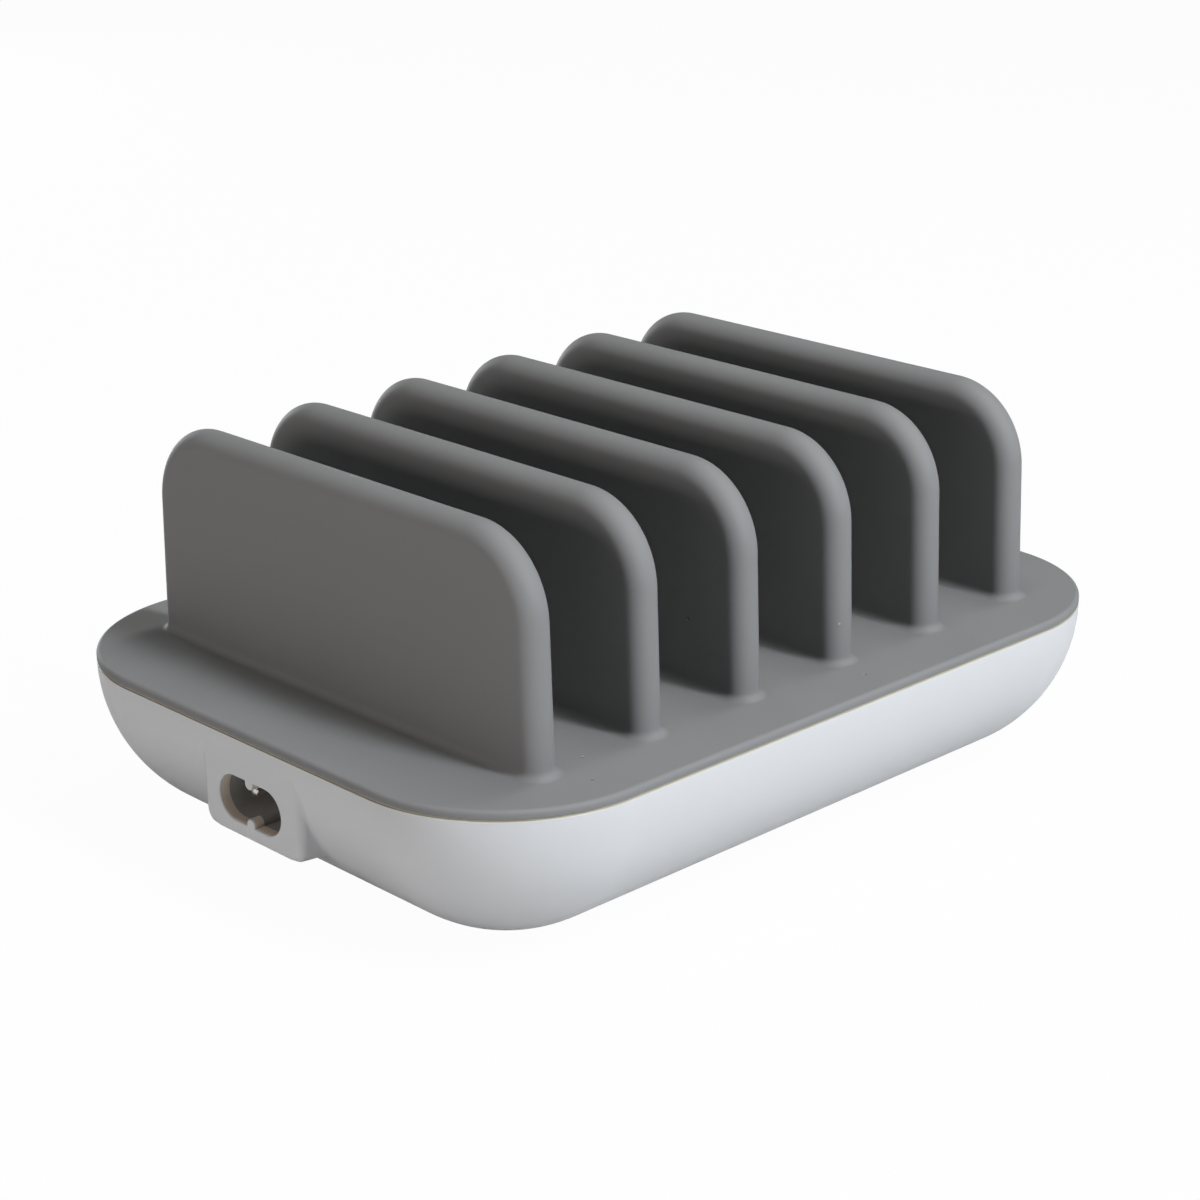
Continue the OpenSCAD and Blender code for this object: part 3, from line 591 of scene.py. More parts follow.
def shell_finish():
    """Pale satin moulded plastic, with a darker tan line under the seam that is painted shade of the
    gap, and painted warm light on the inlet opening's wall.
    """
    material, tree, shader, place, tinted = finish(
        "shell_plastic", SHELL_COLOUR, roughness=0.42, grain=0.0003, depth=0.000012,
        variation=0.015, Coat_Weight=0.05)
    # A darker tan band just under the seam: painted shade of the gap between shell and cover
    height = tree.node("ShaderNodeSeparateXYZ", {"Vector": place}).outputs["Z"]
    levels = {"Value": height, "From Min": SEAM_SHADE_LOW_Z * MM, "From Max": SEAM_SHADE_FULL_Z * MM}
    line = tree.node("ShaderNodeMapRange", levels).outputs["Result"]
    colour = blended(tree, line, tinted, SEAM_SHADE_COLOUR)
    # Brighter, warmer colour on the wall of the inlet's opening: painted warm light in its shade
    centre = Vector((INLET_FACE_X + WARM_LIGHT_MIDDLE, INLET_Y, INLET_Z)) * MM
    half = Vector((WARM_LIGHT_HALF_L, RECESS_W / 2 + WARM_LIGHT_MARGIN, RECESS_H / 2 + WARM_LIGHT_MARGIN)) * MM
    away = vector_math(tree, "ABSOLUTE", vector_math(tree, "SUBTRACT", place, centre))
    room = vector_math(tree, "SUBTRACT", half, away)
    room = tree.node("ShaderNodeSeparateXYZ", {"Vector": room}).outputs
    least = tree.math("MINIMUM", tree.math("MINIMUM", room["X"], room["Y"]), room["Z"])
    colour = blended(tree, tree.math("GREATER_THAN", least, 0.0), colour, WARM_LIGHT_COLOUR)
    tree.feed(shader.inputs["Base Color"], colour)
    return material


def vector_math(tree, operation, *values):
    """Result of an operation on vectors."""
    made = tree.node("ShaderNodeVectorMath", dict(enumerate(values)), operation=operation)
    return made.outputs[0]


COVER = cover_finish()
SHELL = shell_finish()

# Finishes of the record's material slots: colour, roughness, grain, its depth, variation, metallic
SLOT_FINISHES = {
    "frame_plastic": ((0.55, 0.53, 0.47), 0.5, 0.0005, 0.00002, 0.05, 0.0),
    "foot_rubber": ((0.035, 0.035, 0.036), 0.75, 0.0003, 0.00003, 0.1, 0.0),
    "screw_steel": ((0.6, 0.6, 0.62), 0.35, 0.0004, 0.00001, 0.08, 1.0),
    "inlet_plastic": ((0.35, 0.34, 0.325), 0.5, 0.0003, 0.00002, 0.08, 0.0),
    "contact_metal": ((0.78, 0.76, 0.72), 0.25, 0.0003, 0.000005, 0.05, 1.0),
    "board_green": ((0.03, 0.13, 0.06), 0.35, 0.0012, 0.00002, 0.12, 0.0),
    "barrier_sheet": ((0.75, 0.7, 0.55), 0.4, 0.001, 0.00001, 0.04, 0.0),
    "fuse_glass": ((0.8, 0.84, 0.84), 0.12, 0.002, 0.000002, 0.02, 0.0),
    "component_yellow": ((0.7, 0.5, 0.06), 0.45, 0.0005, 0.00002, 0.06, 0.0),
    "component_blue": ((0.06, 0.16, 0.5), 0.3, 0.0008, 0.00004, 0.08, 0.0),
    "ferrite": ((0.06, 0.06, 0.065), 0.65, 0.0004, 0.00004, 0.15, 0.0),
    "powder_core": ((0.5, 0.5, 0.08), 0.5, 0.0005, 0.00003, 0.08, 0.0),
    "copper_wire": ((0.55, 0.22, 0.08), 0.3, 0.0007, 0.00008, 0.12, 1.0),
    "component_black": ((0.022, 0.022, 0.024), 0.55, 0.0004, 0.00002, 0.1, 0.0),
    "capacitor_sleeve": ((0.03, 0.05, 0.12), 0.25, 0.001, 0.00001, 0.08, 0.0),
    "sink_aluminium": ((0.7, 0.71, 0.73), 0.4, 0.0005, 0.00001, 0.06, 1.0),
    "winding_tape": ((0.78, 0.6, 0.12), 0.35, 0.0015, 0.00003, 0.06, 0.0),
    "socket_metal": ((0.7, 0.7, 0.7), 0.28, 0.0004, 0.000006, 0.05, 1.0),
    "socket_plastic": ((0.82, 0.82, 0.8), 0.45, 0.0004, 0.00001, 0.03, 0.0),
    "contact_gold": ((0.83, 0.62, 0.25), 0.25, 0.0004, 0.000005, 0.05, 1.0),
}
FINISHES = {slot: finish(slot, *values)[0] for slot, values in SLOT_FINISHES.items()}


# ---- soft cover


def fin_path(inset, low_z, steps):
    """Line inside a fin's edge in its plane, from the +Y foot over the top.

    Each entry holds y and z of a point and y and z of the way out there.
    """
    radius = FIN_CORNER_R - inset
    centre_z = PLATE_Z + FIN_H - FIN_CORNER_R
    drop_in = (FIN_H - FIN_CORNER_R) * math.sin(FIN_LEAN)
    centre_y = FIN_L / 2 - (FIN_CORNER_R + drop_in) / math.cos(FIN_LEAN)
    out_y, out_z = math.cos(FIN_LEAN), math.sin(FIN_LEAN)
    side_y, side_z = centre_y + radius * out_y, centre_z + radius * out_z
    half = [(side_y + (side_z - low_z) * math.tan(FIN_LEAN), low_z, out_y, out_z)]
    for a in turned(math.pi / 2 - FIN_LEAN, steps):
        c, s = math.cos(FIN_LEAN + a), math.sin(FIN_LEAN + a)
        half.append((centre_y + radius * c, centre_z + radius * s, c, s))
    return half + [(-y, z, -c, s) for y, z, c, s in reversed(half)]


def foot_ring(z, grow, steps):
    """Ring round a fin at level z, grown outwards: the +Y end from -X to +X, then the -Y end back."""
    half_t = FIN_T / 2 + grow
    y = fin_path(FIN_T / 2, z, 1)[0][0]
    end = [(-half_t, y - LOCK, z)]
    for a in turned(math.pi, steps):
        end.append((-half_t * math.cos(a), y + half_t * math.sin(a), z))
    end.append((half_t, y - LOCK, z))
    return end + [(-px, -py, pz) for px, py, pz in end]


def fin_shape():
    """One hollow fin: half-round edge along the outline, flat faces, and a fillet round the foot."""
    shape = Shape()
    half_t = FIN_T / 2
    section = [(-LOCK, -half_t)]
    for a in turned(math.pi, ROUND_STEPS):
        section.append((half_t * math.sin(a), -half_t * math.cos(a)))
    section.append((-LOCK, half_t))
    low_z = PLATE_Z + FIN_FOOT_R + 2 * LOCK
    columns = []
    for y, z, c, s in fin_path(half_t, low_z, CORNER_STEPS):
        columns.append(shape.row([(x, y + n * c, z + n * s) for n, x in section]))
    shape.walls(columns, closed=False)
    shape.cap([column[0] for column in columns], flip=True)
    shape.cap([column[-1] for column in columns])
    rows = [columns[0] + list(reversed(columns[-1]))]
    for a in turned(math.pi / 2, FOOT_STEPS):
        level = PLATE_Z + FIN_FOOT_R * (1 - math.sin(a))
        rows.append(shape.row(foot_ring(level, FIN_FOOT_R * (1 - math.cos(a)), ROUND_STEPS)))
    rows.append(shape.row(foot_ring(PLATE_Z, FIN_FOOT_R + LOCK, ROUND_STEPS)))
    shape.walls(rows)
    # Hollow for the frame's core
    core_x = FIN_T / 2 - SKIN_T
    inside = fin_path(CORE_INSET, PLATE_Z - SKIN_T, CORE_STEPS)
    left = shape.row([(-core_x, y, z) for y, z, c, s in inside])
    right = shape.row([(core_x, y, z) for y, z, c, s in inside])
    shape.strip(right, left, closed=False)
    shape.cap(left)
    shape.cap(right, flip=True)
    return shape


def round_corners(middle_x, middle_y, radius, steps):
    """Points round a rectangle, anticlockwise, with arcs round the corners' middles."""
    points = []
    for quarter in range(4):
        sx = 1 if quarter in (0, 3) else -1
        sy = 1 if quarter in (0, 1) else -1
        for a in turned(math.pi / 2, steps):
            c, s = math.cos(a + quarter * math.pi / 2), math.sin(a + quarter * math.pi / 2)
            points.append((sx * middle_x + radius * c, sy * middle_y + radius * s))
    return points


def body_line(inset, z, steps=BODY_STEPS):
    """Closed line round the body, anticlockwise from above."""
    return [(x, y, z) for x, y in round_corners(ARC_X, ARC_Y, CORNER_R - inset, steps)]


def plate_shape():
    """The cover's plate with its wrapped, rounded edge, open where the fins stand."""
    shape = Shape()
    places = [(i - (FIN_COUNT - 1) / 2) * FIN_PITCH for i in range(FIN_COUNT)]
    under_z = PLATE_Z - SKIN_T
    edge = [shape.row(body_line(SKIN_T, under_z)), shape.row(body_line(SKIN_T, COVER_Z)),
            shape.row(body_line(RIM_ROUND, COVER_Z))]
    for a in turned(math.pi / 2, RIM_STEPS)[1:]:
        inset = RIM_ROUND * (1 - math.sin(a))
        edge.append(shape.row(body_line(inset, COVER_Z + RIM_ROUND * (1 - math.cos(a)))))
    for a in turned(math.pi / 2, PLATE_EDGE_STEPS):
        inset = COVER_EDGE_R * (1 - math.cos(a))
        edge.append(shape.row(body_line(inset, PLATE_Z - COVER_EDGE_R * (1 - math.sin(a)))))
    edge.append(shape.row(body_line(COVER_EDGE_R + LOCK, PLATE_Z)))
    for low, high in zip(edge, edge[1:]):
        shape.strip(high, low)
    feet = []
    cores = []
    half_core = FIN_T / 2 - SKIN_T
    core_y = fin_path(CORE_INSET, under_z, 1)[0][0]
    for x in places:
        ring = foot_ring(PLATE_Z, FIN_FOOT_R + LOCK, ROUND_STEPS)
        feet.append(shape.row([(x + px, py, pz) for px, py, pz in ring]))
        corners = [(half_core, core_y), (-half_core, core_y),
                   (-half_core, -core_y), (half_core, -core_y)]
        cores.append(shape.row([(x + px, py, under_z) for px, py in corners]))
    shape.sheet(edge[-1], feet, upward=True)
    shape.sheet(edge[0], cores, upward=False)
    return shape


ROW_OF_COPIES = copies_tree("row_of_copies", on_points=False)
COPIES_ON_POINTS = copies_tree("copies_on_points", on_points=True)

fin = fin_shape().object("fin_template")
cover = repeat(ROW_OF_COPIES, plate_shape().object("plate"), fin, COVER, "soft_cover",
               Count=FIN_COUNT, Pitch=FIN_PITCH * MM)
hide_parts("silicone_cover")


# ---- lower shell


def round_both(a, b, r):
    """Distance to what lies inside both forms, with their common edge rounded."""
    corner = np.hypot(np.maximum(a + r, 0), np.maximum(b + r, 0))
    return np.minimum(np.maximum(a, b), -r) + corner


def round_either(a, b, r):
    """Distance to what lies inside either form, with a fillet where they meet."""
    corner = np.hypot(np.maximum(r - a, 0), np.maximum(r - b, 0))
    return np.maximum(np.minimum(a, b), r) - corner


def boss_distance(out, across, z, width, bottom_z):
    """Distance to a flat boss: out is measured from its face, across from its middle."""
    flank = (np.abs(across) - width / 2 + out * math.tan(BOSS_DRAFT)) * math.cos(BOSS_DRAFT)
    lower = round_both(flank, bottom_z - z, BOSS_CORNER_R)
    return np.maximum(round_both(lower, out, BOSS_EDGE_R), -BOSS_DEPTH - out)


def shell_distance(p):
    """Distance to the shell's outer surface, for points in millimetres."""
    x, y, z = p[..., 0], p[..., 1], p[..., 2]
    plan = np.hypot(np.maximum(np.abs(x) - ARC_X, 0), np.maximum(np.abs(y) - ARC_Y, 0))
    side = np.hypot(plan + SIDE_R - CORNER_R, z - SEAM_Z) - SIDE_R
    across = y - INLET_BOSS_Y
    inlet = boss_distance(INLET_FACE_X - x, across, z, INLET_BOSS_W, INLET_BOSS_BOTTOM_Z)
    ports = boss_distance(y - PORT_FACE_Y, x, z, PORT_BOSS_W, PORT_BOSS_BOTTOM_Z)
    blend = BOSS_BLEND_R * np.clip((BOSS_BLEND_TOP_Z - z) / BOSS_BLEND_FADE, LEAST_BLEND, 1)
    body = round_either(round_either(side, inlet, blend), ports, blend)
    return round_both(body, BASE_Z - z, BOTTOM_ROUND)


def shell_normal(p):
    """Way out of the shell's outer surface."""
    reach = 0.01
    steps = []
    for axis in range(3):
        move = np.zeros(3)
        move[axis] = reach
        steps.append(shell_distance(p + move) - shell_distance(p - move))
    normal = np.stack(steps, axis=-1)
    return normal / np.maximum(np.linalg.norm(normal, axis=-1, keepdims=True), 1e-9)


def shell_stations():
    """Round the body, anticlockwise from above, on the rectangle of the corners' middles.

    Each entry holds x and y of a point and x and y of the way out there.
    """
    inner = INLET_BOSS_W / 2 - FLANK_INSIDE
    outer = INLET_BOSS_W / 2 + FLANK_OUTSIDE
    flanks = [(INLET_BOSS_Y + inner, INLET_BOSS_Y + outer),
              (INLET_BOSS_Y - outer, INLET_BOSS_Y - inner)]
    left = graded(-ARC_Y, ARC_Y, LEFT_STEP, flanks, FLANK_STEP)
    corner = graded(0.0, 90.0, TURN_STEP)
    near_port = graded(0.0, 90.0, TURN_STEP, [(PORT_FLANK_ANGLE, 90.0)], PORT_FLANK_TURN_STEP)
    port_flanks = [(-ARC_X, PORT_FLANK_L - ARC_X), (ARC_X - PORT_FLANK_L, ARC_X)]
    rear = graded(-ARC_X, ARC_X, STRAIGHT_STEP, port_flanks, PORT_FLANK_STEP)
    front = graded(-ARC_X, ARC_X, STRAIGHT_STEP)
    right = graded(-ARC_Y, ARC_Y, STRAIGHT_STEP)

    def arc(x, y, angles):
        return [(x, y, math.cos(math.radians(a)), math.sin(math.radians(a))) for a in angles]

    return (arc(ARC_X, ARC_Y, near_port)
            + [(x, ARC_Y, 0, 1) for x in reversed(rear[1:-1])]
            + arc(-ARC_X, ARC_Y, [180 - a for a in reversed(near_port)])
            + [(-ARC_X, y, -1, 0) for y in reversed(left[1:-1])]
            + arc(-ARC_X, -ARC_Y, [180 + a for a in corner])
            + [(x, -ARC_Y, 0, -1) for x in front[1:-1]]
            + arc(ARC_X, -ARC_Y, [270 + a for a in corner])
            + [(ARC_X, y, 1, 0) for y in right[1:-1]])


def shell_outside():
    """Closed form inside the shell's outer surface, up to the rim and the step inside it."""
    stations = np.array(shell_stations())
    axis = stations[:, :2] - (SIDE_R - CORNER_R) * stations[:, 2:]
    first = math.degrees(math.asin(RIM_ROUND / SIDE_R))
    far = 40.0
    approaches = 60
    rows = []
    for slope in graded(first, SLOPE_END, SLOPE_STEP, FINE_SLOPES, FINE_SLOPE_STEP):
        a = math.radians(slope)
        down = np.full(len(stations), -math.sin(a))
        way = np.column_stack([stations[:, 2:] * math.cos(a), down])
        start = np.column_stack([axis, np.full(len(stations), SEAM_Z)])
        reach = np.full(len(stations), far)
        for _ in range(approaches):
            reach -= shell_distance(start + way * reach[:, None])
        rows.append(start + way * reach[:, None])
    rim = rows[0]
    levels = []
    for a in turned(math.pi / 2, RIM_ROUND_STEPS)[1:]:
        levels.append((RIM_ROUND * (1 - math.cos(a)), SEAM_Z - RIM_ROUND * (1 - math.sin(a))))
    levels += [(STEP_INSET, SEAM_Z), (STEP_INSET, STEP_Z)]
    top = []
    for inset, level in levels:
        moved = rim.copy()
        moved[:, :2] -= stations[:, 2:] * inset
        moved[:, 2] = level
        top.append(moved)
    return tube(list(reversed(top)) + rows)


def hull_inside(inset, low_z, high_z):
    """Closed form under the side curve at a given inset, between two levels."""
    radius = SIDE_R - inset
    top = math.asin((SEAM_Z - low_z) / radius)
    lines = [body_line(inset, high_z, INSIDE_STEPS)]
    for a in turned(top, INSIDE_SLOPE_STEPS):
        level = SEAM_Z - radius * math.sin(a)
        lines.append(body_line(SIDE_R - radius * math.cos(a), level, INSIDE_STEPS))
    return tube(lines)


def straight_form(plan, low_z, high_z):
    """Closed upright form on a line of (x, y) points, between two levels."""
    return tube([[(x, y, level) for x, y in plan] for level in (high_z, low_z)])


def end_arc(side, half, radius):
    """Half-round end of a stadium (across, up), on one side of the middle."""
    points = []
    for a in turned(math.pi, LINE_STEPS):
        points.append((side * (half + radius * math.sin(a)), -side * radius * math.cos(a)))
    return points


def stadium_line(width, height):
    """Points (across, up) round a stadium, anticlockwise."""
    half, radius = (width - height) / 2, height / 2
    return end_arc(1, half, radius) + end_arc(-1, half, radius)


def recess_line(grow):
    """Points (across, up) round the inlet's figure-of-eight, anticlockwise, grown outwards."""
    half, radius = (RECESS_W - RECESS_H) / 2, RECESS_H / 2 + grow
    rib = WAIST_W / 2 - grow
    rib_z = RECESS_H / 2 - WAIST_H + WAIST_W / 2
    points = []
    for side in (1, -1):
        points += end_arc(side, half, radius)
        points.append((side * rib, side * radius))
        for a in turned(math.pi, WAIST_STEPS):
            points.append((side * rib * math.cos(a), side * (rib_z - rib * math.sin(a))))
        points.append((-side * rib, side * radius))
    return points


def rounded_line(width, height, radius, steps):
    """Points (across, up) round a rectangle with round corners, anticlockwise."""
    return round_corners(width / 2 - radius, height / 2 - radius, radius, steps)


def port_opening_line(grow):
    """Points (across, up) round a socket's opening, anticlockwise, grown outwards."""
    width, height = PORT_OPENING
    radius = PORT_OPENING_CORNER_R + grow
    return rounded_line(width + 2 * grow, height + 2 * grow, radius, OPENING_STEPS)


def lipped_cut(line_at, deep):
    """Levels and lines of a cut with a rounded lip at level 0, down to a deep level."""
    levels = [(WIDE_CUT_REACH, LIP_R), (0.0, LIP_R)]
    for a in turned(math.pi / 2, LIP_STEPS)[1:]:
        levels.append((LIP_R * (math.cos(a) - 1), LIP_R * (1 - math.sin(a))))
    levels.append((deep, 0.0))
    return [(level, line_at(grow)) for level, grow in levels]


def inlet_tunnel():
    """Cutter for the inlet's opening."""
    cut = lipped_cut(recess_line, -BOSS_WALL - INLET_CUT_REACH)
    return tube([[(INLET_FACE_X - level, INLET_Y + u, INLET_Z + v) for u, v in line]
                 for level, line in cut])


def inlet_pocket():
    """Cutter for the pocket that holds the inlet's nose."""
    line = stadium_line(NOSE_W + NOSE_PLAY, NOSE_H + NOSE_PLAY)
    ends = (INLET_FACE_X + BOSS_WALL, NOSE_POCKET_X)
    return tube([[(x, INLET_Y + u, INLET_Z + v) for u, v in line] for x in ends])


def port_cutter():
    """Cutter for one socket's opening, in the middle of the row."""
    cut = lipped_cut(port_opening_line, -BOSS_WALL - CUT_REACH)
    return tube([[(-u, PORT_FACE_Y + level, PORT_Z + v) for u, v in line] for level, line in cut])


def box_form(low, high):
    """Closed box between two corners."""
    corners = ((high[0], low[1]), (high[0], high[1]), (low[0], high[1]), (low[0], low[1]))
    return straight_form(corners, low[2], high[2])


def cut_with(body, tools, operation):
    """Boolean with several closed tools, one after the other."""
    for tool in tools:
        modifier = body.modifiers.new("cut", "BOOLEAN")
        modifier.operation = operation
        modifier.solver = "EXACT"
        modifier.object = tool
    work_in(body, body.name)
    drop(*tools)


def lathes(name, places, section):
    """One tool of several turned forms that don't touch each other."""
    shape = Shape()
    for at in places:
        shape.lathe(section, at, STAND_SIDES)
    return shape.object(name)


def rod_section(radius, low, high):
    """Half section of a rod: (radius, height) points."""
    return [(0, low), (radius, low), (radius, high), (0, high)]


def four_corners(at):
    """The place at, on the desk's level, and its mirror images across X and Y."""
    return [(sx * at[0], sy * at[1], 0) for sx in (1, -1) for sy in (1, -1)]


def shell_stands():
    """Screw towers, posts and ribs that stand on the shell's floor."""
    towers = rod_section(TOWER_R, STAND_ROOT_Z, TOWER_TOP_Z)
    posts = rod_section(POST_R, STAND_ROOT_Z, POST_TOP_Z)
    stands = [lathes("towers", four_corners(FOOT_AT), towers),
              lathes("posts", four_corners(POST_AT), posts)]
    for y in (FLOOR_RIB_Y, -FLOOR_RIB_Y):
        low = (-FLOOR_RIB_L / 2, y - FLOOR_RIB_T / 2, STAND_ROOT_Z)
        high = (FLOOR_RIB_L / 2, y + FLOOR_RIB_T / 2, FLOOR_RIB_TOP_Z)
        stands.append(box_form(low, high).object("rib"))
    return stands


def shell_cutters():
    """Tools for the rim's ledge, the inlet, the sockets and the screws."""
    plan = round_corners(ARC_X, ARC_Y, CORNER_R - RIM_T, LINE_STEPS)
    rim = straight_form(plan, LEDGE_Z, SEAM_Z + WIDE_CUT_REACH)
    width, height = PORT_POCKET
    pocket = box_form((-width / 2, ARC_Y, PORT_Z - height / 2),
                      (width / 2, PORT_FACE_Y - BOSS_WALL, PORT_Z + height / 2))
    openings = repeat(ROW_OF_COPIES, points_host("openings"), port_cutter().object("opening"),
                      SHELL, "openings", Count=PORT_COUNT, Pitch=PORT_PITCH * MM)
    screw_top_z = TOWER_TOP_Z + CUT_REACH
    feet = [(0, RECESS_CUT_LOW_Z), (FOOT_RECESS_R, RECESS_CUT_LOW_Z),
            (FOOT_RECESS_R, FOOT_RECESS_TOP_Z), (SCREW_POCKET_R, FOOT_RECESS_TOP_Z),
            (SCREW_POCKET_R, SCREW_POCKET_TOP_Z), (SCREW_BORE_R, SCREW_POCKET_TOP_Z),
            (SCREW_BORE_R, screw_top_z), (0, screw_top_z)]
    bores = rod_section(POST_BORE_R, POST_BORE_LOW_Z, POST_TOP_Z + CUT_REACH)
    return [rim.object("rim"), inlet_pocket().object("inlet_pocket"),
            inlet_tunnel().object("inlet_tunnel"), pocket.object("port_pocket"), openings,
            lathes("foot_bores", four_corners(FOOT_AT), feet),
            lathes("post_bores", four_corners(POST_AT), bores)]


def lower_shell():
    """The moulded shell: a hollow hull with its stands and openings."""
    shell = shell_outside().object("shell")
    inside = hull_inside(SHELL_WALL, FLOOR_Z, SEAM_Z + WIDE_CUT_REACH).object("inside")
    cut_with(shell, [inside], "DIFFERENCE")
    cut_with(shell, shell_stands(), "UNION")
    cut_with(shell, shell_cutters(), "DIFFERENCE")
    shade_outside(shell.data)
    shell.data.materials.clear()
    shell.data.materials.append(SHELL)
    shell.name = shell.data.name = "moulded_shell"
    return shell


def read_all(items, attribute, size, kind):
    """Values of an attribute of all items, in rows of the given size."""
    values = np.zeros(len(items) * size, kind)
    items.foreach_get(attribute, values)
    return values.reshape(-1, size)


def shade_outside(mesh):
    """Gives the outer surface's corners the true way out, and leaves the others smooth by angle."""
    sharp = math.radians(30)
    near = 0.01
    facing = 0.8
    mesh.polygons.foreach_set("use_smooth", [True] * len(mesh.polygons))
    mesh.set_sharp_from_angle(angle=sharp)
    normals = read_all(mesh.corner_normals, "vector", 3, np.float32).astype(float)
    vertex = read_all(mesh.loops, "vertex_index", 1, np.int32)[:, 0]
    points = read_all(mesh.vertices, "co", 3, np.float32).astype(float)[vertex] / MM
    face = read_all(mesh.polygons, "normal", 3, np.float32).astype(float)
    total = read_all(mesh.polygons, "loop_total", 1, np.int32)[:, 0]
    face = np.repeat(face, total, axis=0)
    true = shell_normal(points)
    outer = np.abs(shell_distance(points)) < near
    outer &= points[:, 2] < SEAM_Z - RIM_ROUND + near
    outer &= (face * true).sum(axis=1) > facing
    normals[outer] = true[outer]
    mesh.normals_split_custom_set(normals.tolist())


shell = lower_shell()
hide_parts("lower_shell")


# ---- inlet pins, feet and sockets


def inlet_pin():
    """A pin with a domed tip in the recess, a thinner shank and a leg through the board."""
    shape = Shape()
    section = [(0, 0.0)]
    for a in turned(math.pi / 2, DOME_STEPS)[1:]:
        section.append((PIN_R * math.sin(a), PIN_DOME_L * (1 - math.cos(a))))
    length = RECESS_FLOOR_X - PIN_TIP_X
    section += [(PIN_R, length), (SHANK_R, length), (SHANK_R, PIN_L), (0, PIN_L)]
    shape.lathe(section, (PIN_TIP_X, 0, INLET_Z), PIN_SIDES, axis="X")
    shape.lathe(rod_section(LEG_R, LEG_LOW_Z, LEG_TOP_Z), (LEG_X, 0, 0), LEG_SIDES)
    return shape


def foot_shape():
    """A rubber foot with a rounded lower edge and shallow grip rings."""
    shape = Shape()
    section = [(0, FOOT_TOP_Z), (FOOT_R - FOOT_BEVEL, FOOT_TOP_Z), (FOOT_R, FOOT_TOP_Z - FOOT_BEVEL)]
    for a in turned(math.pi / 2, FOOT_EDGE_STEPS):
        section.append((FOOT_R - FOOT_EDGE_R * (1 - math.cos(a)), FOOT_EDGE_R * (1 - math.sin(a))))
    for radius in GRIP_RINGS:
        section += [(radius + GRIP_HALF_W, 0.0), (radius + GRIP_FLOOR_HALF_W, GRIP_DEPTH),
                    (radius - GRIP_FLOOR_HALF_W, GRIP_DEPTH), (radius - GRIP_HALF_W, 0.0)]
    section.append((0, 0.0))
    shape.lathe(section, (0, 0, 0), FOOT_SIDES)
    return shape


def socket_shell():
    """One socket's folded metal shell: a tube with round corners and a bevelled lip."""
    shape = Shape()
    bevel_y = PORT_MOUTH_Y - LIP_BEVEL_L
    # Level along Y, inset and corner radius of each line, outside and then inside
    sections = [
        (PORT_BACK_Y, 0.0, PORT_CORNER_R),
        (bevel_y, 0.0, PORT_CORNER_R),
        (PORT_MOUTH_Y, LIP_BEVEL_OUT, PORT_CORNER_R - LIP_BEVEL_CORNER),
        (PORT_MOUTH_Y, PORT_WALL - LIP_BEVEL_IN, PORT_INNER_CORNER_R + LIP_BEVEL_CORNER),
        (bevel_y, PORT_WALL, PORT_INNER_CORNER_R),
        (PORT_BACK_Y, PORT_WALL, PORT_INNER_CORNER_R)]
    rows = []
    for y, inset, radius in sections:
        line = rounded_line(PORT_W - 2 * inset, PORT_H - 2 * inset, radius, SOCKET_STEPS)
        rows.append(shape.row([(-u, y, PORT_Z + v) for u, v in line]))
    for a, b in zip(rows, rows[1:] + rows[:1]):
        shape.strip(b, a)
    return shape


def bevelled_box(shape, low, high, bevel):
    """Box with its edges cut at 45 degrees."""
    rows = []
    levels = ((low[2], bevel), (low[2] + bevel, 0), (high[2] - bevel, 0), (high[2], bevel))
    for z, inset in levels:
        x0, y0, x1, y1 = low[0] + inset, low[1] + inset, high[0] - inset, high[1] - inset
        line = [(x1, y0 + bevel), (x1, y1 - bevel), (x1 - bevel, y1), (x0 + bevel, y1),
                (x0, y1 - bevel), (x0, y0 + bevel), (x0 + bevel, y0), (x1 - bevel, y0)]
        rows.append(shape.row([(x, y, z) for x, y in line]))
    for a, b in zip(rows, rows[1:]):
        shape.strip(b, a)
    shape.cap(rows[0], flip=True)
    shape.cap(rows[-1])


def socket_tongue():
    """One socket's insulator: a block at the back and a tongue."""
    shape = Shape()
    back_low = (-TONGUE_BACK_HALF_W, PORT_BACK_Y, PORT_Z - TONGUE_BACK_HALF_H)
    back_high = (TONGUE_BACK_HALF_W, PORT_BACK_Y + TONGUE_BACK_L, PORT_Z + TONGUE_BACK_HALF_H)
    bevelled_box(shape, back_low, back_high, TONGUE_BACK_BEVEL)
    root_y = PORT_BACK_Y + (TONGUE_BACK_L - TONGUE_ROOT)
    bevelled_box(shape, (-TONGUE_HALF_W, root_y, PORT_Z + TONGUE_LOW),
                 (TONGUE_HALF_W, TONGUE_FRONT_Y, PORT_Z + TONGUE_TOP), TONGUE_BEVEL)
    return shape


def socket_contacts():
    """One socket's four contact strips, on the lower face of its tongue."""
    shape = Shape()
    for x in CONTACT_X:
        low = (x - CONTACT_HALF_W, PORT_BACK_Y + TONGUE_BACK_L, PORT_Z + CONTACT_LOW)
        high = (x + CONTACT_HALF_W, CONTACT_FRONT_Y, PORT_Z + TONGUE_LOW)
        bevelled_box(shape, low, high, CONTACT_BEVEL)
    return shape


def socket_row(one, slot, name):
    """Piece for the whole row of sockets, from the form of one."""
    return repeat(ROW_OF_COPIES, points_host("row"), one.object("one"), FINISHES[slot], name,
                  Count=PORT_COUNT, Pitch=PORT_PITCH * MM)


